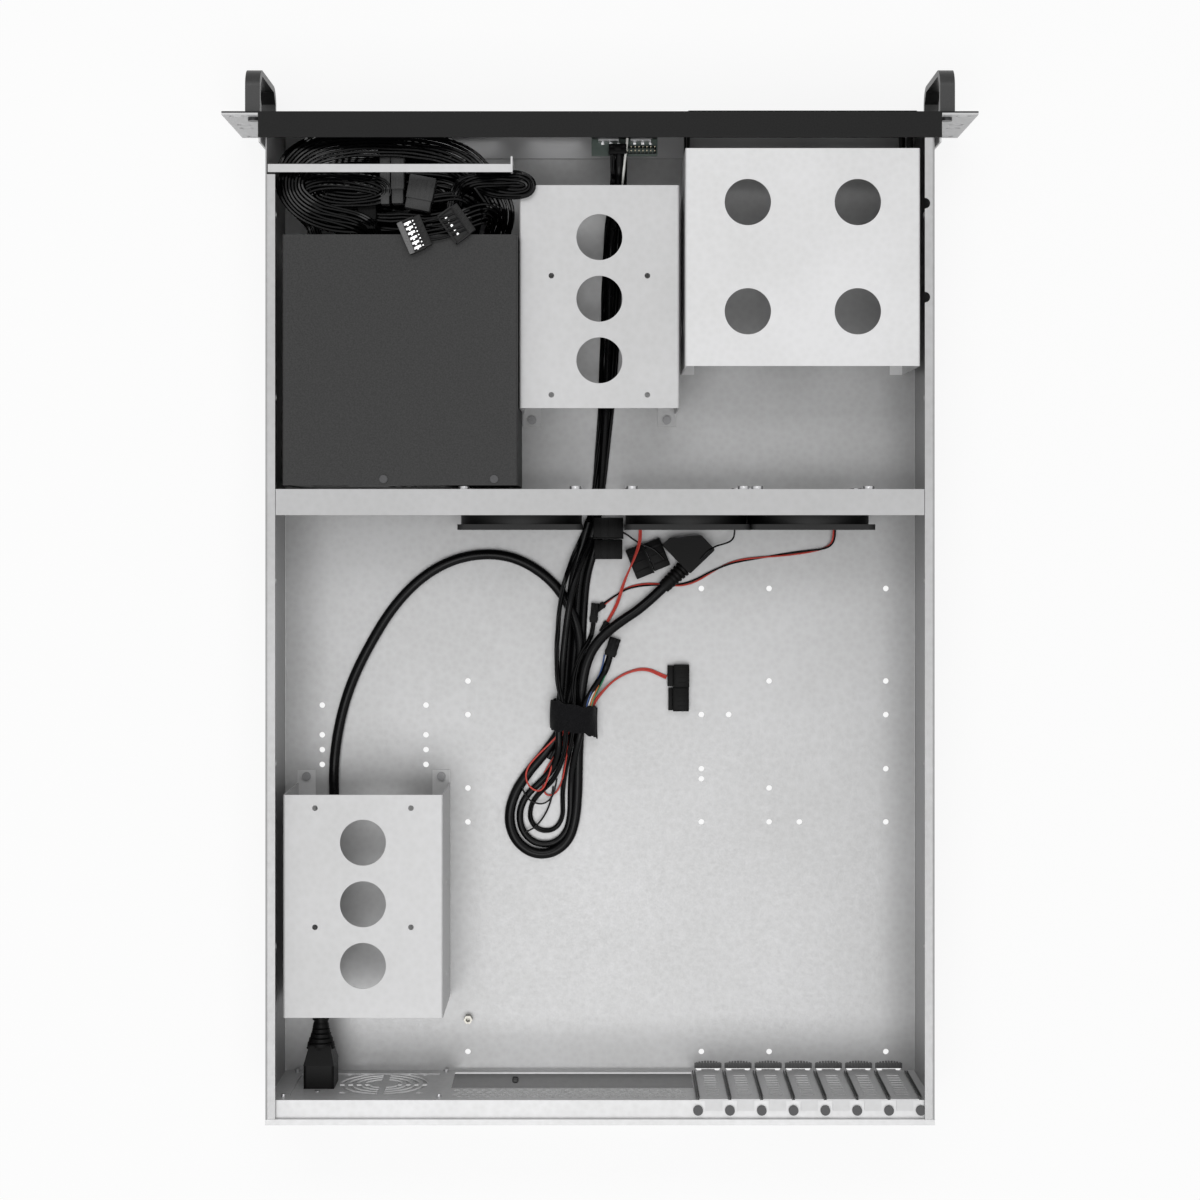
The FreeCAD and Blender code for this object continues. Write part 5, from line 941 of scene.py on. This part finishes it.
plug_grey = powder("supply_plug_mould", 0.05, 0.5, 0.3, 0.00006)
first_plug = box_plug("supply_housing_1", (0.1363, -0.2845, 0.0502), (0.1428, -0.2533, 0.0618), 2,
                      ["supply_plugs"])
second_plug = box_plug("supply_housing_2", (0.1273, -0.2845, 0.0502), (0.1356, -0.2537, 0.0618), 2)
third_plug = box_plug("supply_housing_3", (0.1062, -0.2697, 0.0502), (0.1234, -0.2477, 0.0618), 5,
                      turn=-10.9)
fourth_plug = box_plug("supply_housing_4", (0.146, -0.258, 0.0445), (0.158, -0.238, 0.0545), 4,
                       mould=black_mould)

nine_wires, strand = bunch((3, 3, 3), 0.0021), 0.00102
loom("main_loom", (
    (120, -231.5, 7), (124, -238, 7), (134, -242, 7), (97, -245, 7.5), (78, -252, 8.5),
    (69, -263.5, 9), (78, -275, 10), (96.5, -281.5, 10.5), (134, -284.5, 11.5),
    (169.5, -282.5, 12), (191.5, -276, 12.5), (197, -263.5, 13.5), (193, -250.5, 14),
    (171, -243, 15), (134, -241, 15.5), (96, -243.5, 16.5), (75.5, -251, 17), (65.5, -263.5, 18),
    (74.5, -275, 18.5), (96.5, -281.5, 19), (134, -283.5, 20), (172, -281.5, 20.5),
    (195.5, -275.5, 21.5), (201, -263.5, 22), (191.5, -251, 23), (172.5, -243.5, 23.5),
    (134, -240.5, 24), (95.5, -243, 25), (76.5, -250.5, 25.5), (71.5, -263.5, 26.5),
    (76.5, -276, 27), (98, -282.5, 28), (134, -284, 28.5), (170.5, -281.5, 29), (189, -275, 30),
    (198.5, -263.5, 30.5), (190.5, -251.5, 31.5), (172, -244.5, 32), (134, -241.5, 33),
    (97.5, -243.5, 33.5), (74.5, -250.5, 34), (68.5, -263.5, 35), (73, -276.5, 35.5),
    (95.5, -283.5, 36.5), (134, -285.5, 37), (173, -282.5, 38), (193, -275.5, 38.5),
    (202.5, -263.5, 39), (193.5, -252, 40), (180, -247.5, 44), (168, -247, 48),
    (158.5, -248, 49.5)),
    spots=nine_wires, thick=strand,
    replaced=["supply_hank"], twist=3, wander=0.0004)
inner_steps = 38
for number, (wide, deep, low, high, length) in enumerate(
        ((44, 12, 10, 36, 0.65), (54, 17, 12, 46, 0.805), (28, 6, 9, 30, 0.424)), 1):
    turns = [(118, -231.5, low), (120, -238, low), (124, -244, low)]
    for step in range(inner_steps + 1):
        angle = math.radians(110 - 30 * step)
        turns.append((132 + wide * squarish(math.cos(angle), 0.7), -262.5 + deep * math.sin(angle),
                      low + (high - low) * step / inner_steps))
    turns += [(152, -262, 45), (152, -258.5, 49)]
    loom("inner_loom_%d" % number, turns, nine_wires, strand,
         twist=2, wander=0.0005)
loom("oval_loom_1", (
    (168, -231.5, 40), (168, -240, 42), (176, -245.5, 46), (188, -248, 50), (198, -254, 54),
    (204, -263, 56), (204, -275, 57), (198, -285, 58), (187, -292, 59), (172, -295, 60),
    (157, -296, 60), (145, -294, 58.5), (139.6, -290.5, 57), (139.5, -284.5, 56.2)),
    spots=bunch((3, 4), 0.0022), thick=0.00105,
    replaced=["supply_coil"])
loom("oval_loom_2", (
    (186, -231.5, 46), (187, -240, 47), (193, -247, 50), (201, -253, 53), (207, -262, 55),
    (208, -274, 55), (203, -286, 54), (192, -294, 53), (176, -298, 52), (158, -299.5, 51),
    (143, -298, 51.5), (134, -294.5, 53.5), (131.6, -290.5, 55.5), (131.5, -284.5, 56.2)),
    spots=bunch((4, 3), 0.0022), thick=0.00105)
loom("oval_loom_3", (
    (148, -231.5, 47), (148, -238, 52), (158, -243.5, 57), (172, -246, 60), (185, -249, 62),
    (194, -255, 63.5), (195, -262, 64), (188, -267, 64.5), (175, -268.5, 64.5), (160, -267.5, 64),
    (146, -265, 63.5), (140, -262, 62), (146, -258.5, 60), (158, -257, 59), (172, -258, 59),
    (181, -259.5, 59), (183, -263, 58.5), (177, -265, 57.5), (165, -263, 55), (156, -260, 51.5),
    (153, -258.5, 49.5)),
    spots=ribbon(6, 0.0021), thick=0.00095,
    wander=0.0004)
loom("flat_loom", (
    (69, -231.5, 34), (67.5, -236.5, 44), (64.5, -241.5, 54), (63.5, -248.5, 60.5),
    (66.5, -256, 63), (72, -264, 63.5), (78, -272.5, 63), (86, -281, 62.5), (98, -287, 62.5),
    (114, -290.5, 62.8), (134, -292, 63.5), (156, -292, 64.5), (176, -289.5, 66), (191, -283, 67.5),
    (199.5, -272, 68), (200, -260, 67), (192, -250.5, 64), (179, -245, 60), (166, -243.5, 55),
    (158, -244, 52)),
    spots=ribbon(8, 0.0022), thick=0.00105,
    wander=0.0002)
loom("end_loom", (
    (98, -231.5, 44), (97, -240, 48), (95, -255, 54), (90, -266, 59), (82, -268, 65.5),
    (72, -268, 71), (61, -267.5, 77), (51, -267, 80), (45.5, -264, 80), (46.5, -259.5, 80),
    (54, -258.5, 79), (64, -260.5, 72), (74, -263, 66), (84, -270, 59), (96, -280, 54),
    (110, -288, 53.5), (124, -291.5, 55), (131, -290.5, 56), (131.5, -284.5, 56.2)),
    spots=bunch((5, 4), 0.0021), thick=strand,
    replaced=["supply_loops"])
loom("side_loom", (
    (84, -231.5, 30), (83, -237, 34), (80, -246, 43), (82, -254, 51), (89, -258.5, 55.5),
    (97, -259.5, 56.5), (108.5, -257.5, 56.2)),
    spots=bunch((3, 3), 0.0021), thick=0.001)

contact_tin = turned_metal("contact_tin", (0.8, 0.8, 0.8), 0.3)
dark_mould = powder("drive_plug_mould", 0.010, 0.45, 0.2, 0.00004)
pale_mould = powder("drive_plug_pale_mould", 0.13, 0.5, 0.3, 0.00004)


def drive_plug(name, at, turn, face):
    """Flat power connector for a drive: long open shell, wire caps, and what its face shows."""
    shell = [block((-0.011, -0.0078, -0.0024), (0.011, 0.0034, 0.0012), 0.0004),
             block((-0.0104, 0.003, -0.0024), (0.0104, 0.0078, 0.0024), 0.0004),
             block((-0.011, -0.0078, 0.001), (0.011, -0.0066, 0.0024), 0.0003),
             block((-0.011, -0.0078, 0.001), (-0.0098, 0.0034, 0.0024), 0.0003),
             block((0.0098, -0.0078, 0.001), (0.011, 0.0034, 0.0024), 0.0003)]
    caps = row(5, (0.0039, 0, 0), (-0.009, 0.004, 0.0022), (-0.0066, 0.007, 0.0029), 0.0003)
    return assemble(name, shell + face + caps, [dark_mould, contact_tin, pale_mould],
                    (), at, math.radians(turn))


contact_pitch, tooth_pitch, back_pitch = (0.0033, 0, 0), (0.0024, 0, 0), (0.0032, 0, 0)
front_face = [block((-0.0108, -0.0078, 0.001), (0.0108, -0.0042, 0.0027), 0.0004, 2)]
front_face += row(6, contact_pitch, (-0.009, -0.0038, 0.001), (-0.0075, 0.001, 0.0016), 0.0001, 1)
front_face += row(6, contact_pitch, (-0.0079, -0.0022, 0.0011), (-0.0066, -0.001, 0.0017), 0.0001, 1)
front_face += row(8, tooth_pitch, (-0.0088, 0.0018, 0.001), (-0.008, 0.0028, 0.0016), 0.0001, 1)
back_face = row(5, back_pitch, (-0.0078, -0.004, 0.001), (-0.0062, -0.0022, 0.0019), 0.0004, 1)
back_face += row(5, back_pitch, (-0.0082, -0.0008, 0.001), (-0.0074, 0.0026, 0.0016), 0.0001)
near_plug = drive_plug("drive_power_plug_1", (0.1179, -0.2297, 0.0900), 113.3, front_face)
far_plug = drive_plug("drive_power_plug_2", (0.0915, -0.2368, 0.0885), 126, back_face)
loom("drive_power_loom", (
    (66, -231.5, 44), (66, -238, 54), (68, -243.5, 66), (72, -245, 78), (77.5, -243, 86.5),
    (84, -240, 89), (91, -237, 89.6), (98, -234.5, 90), (104, -233, 90.4), (110, -232, 90.4)),
    spots=ribbon(5, 0.003), thick=0.0008)

low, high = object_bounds()
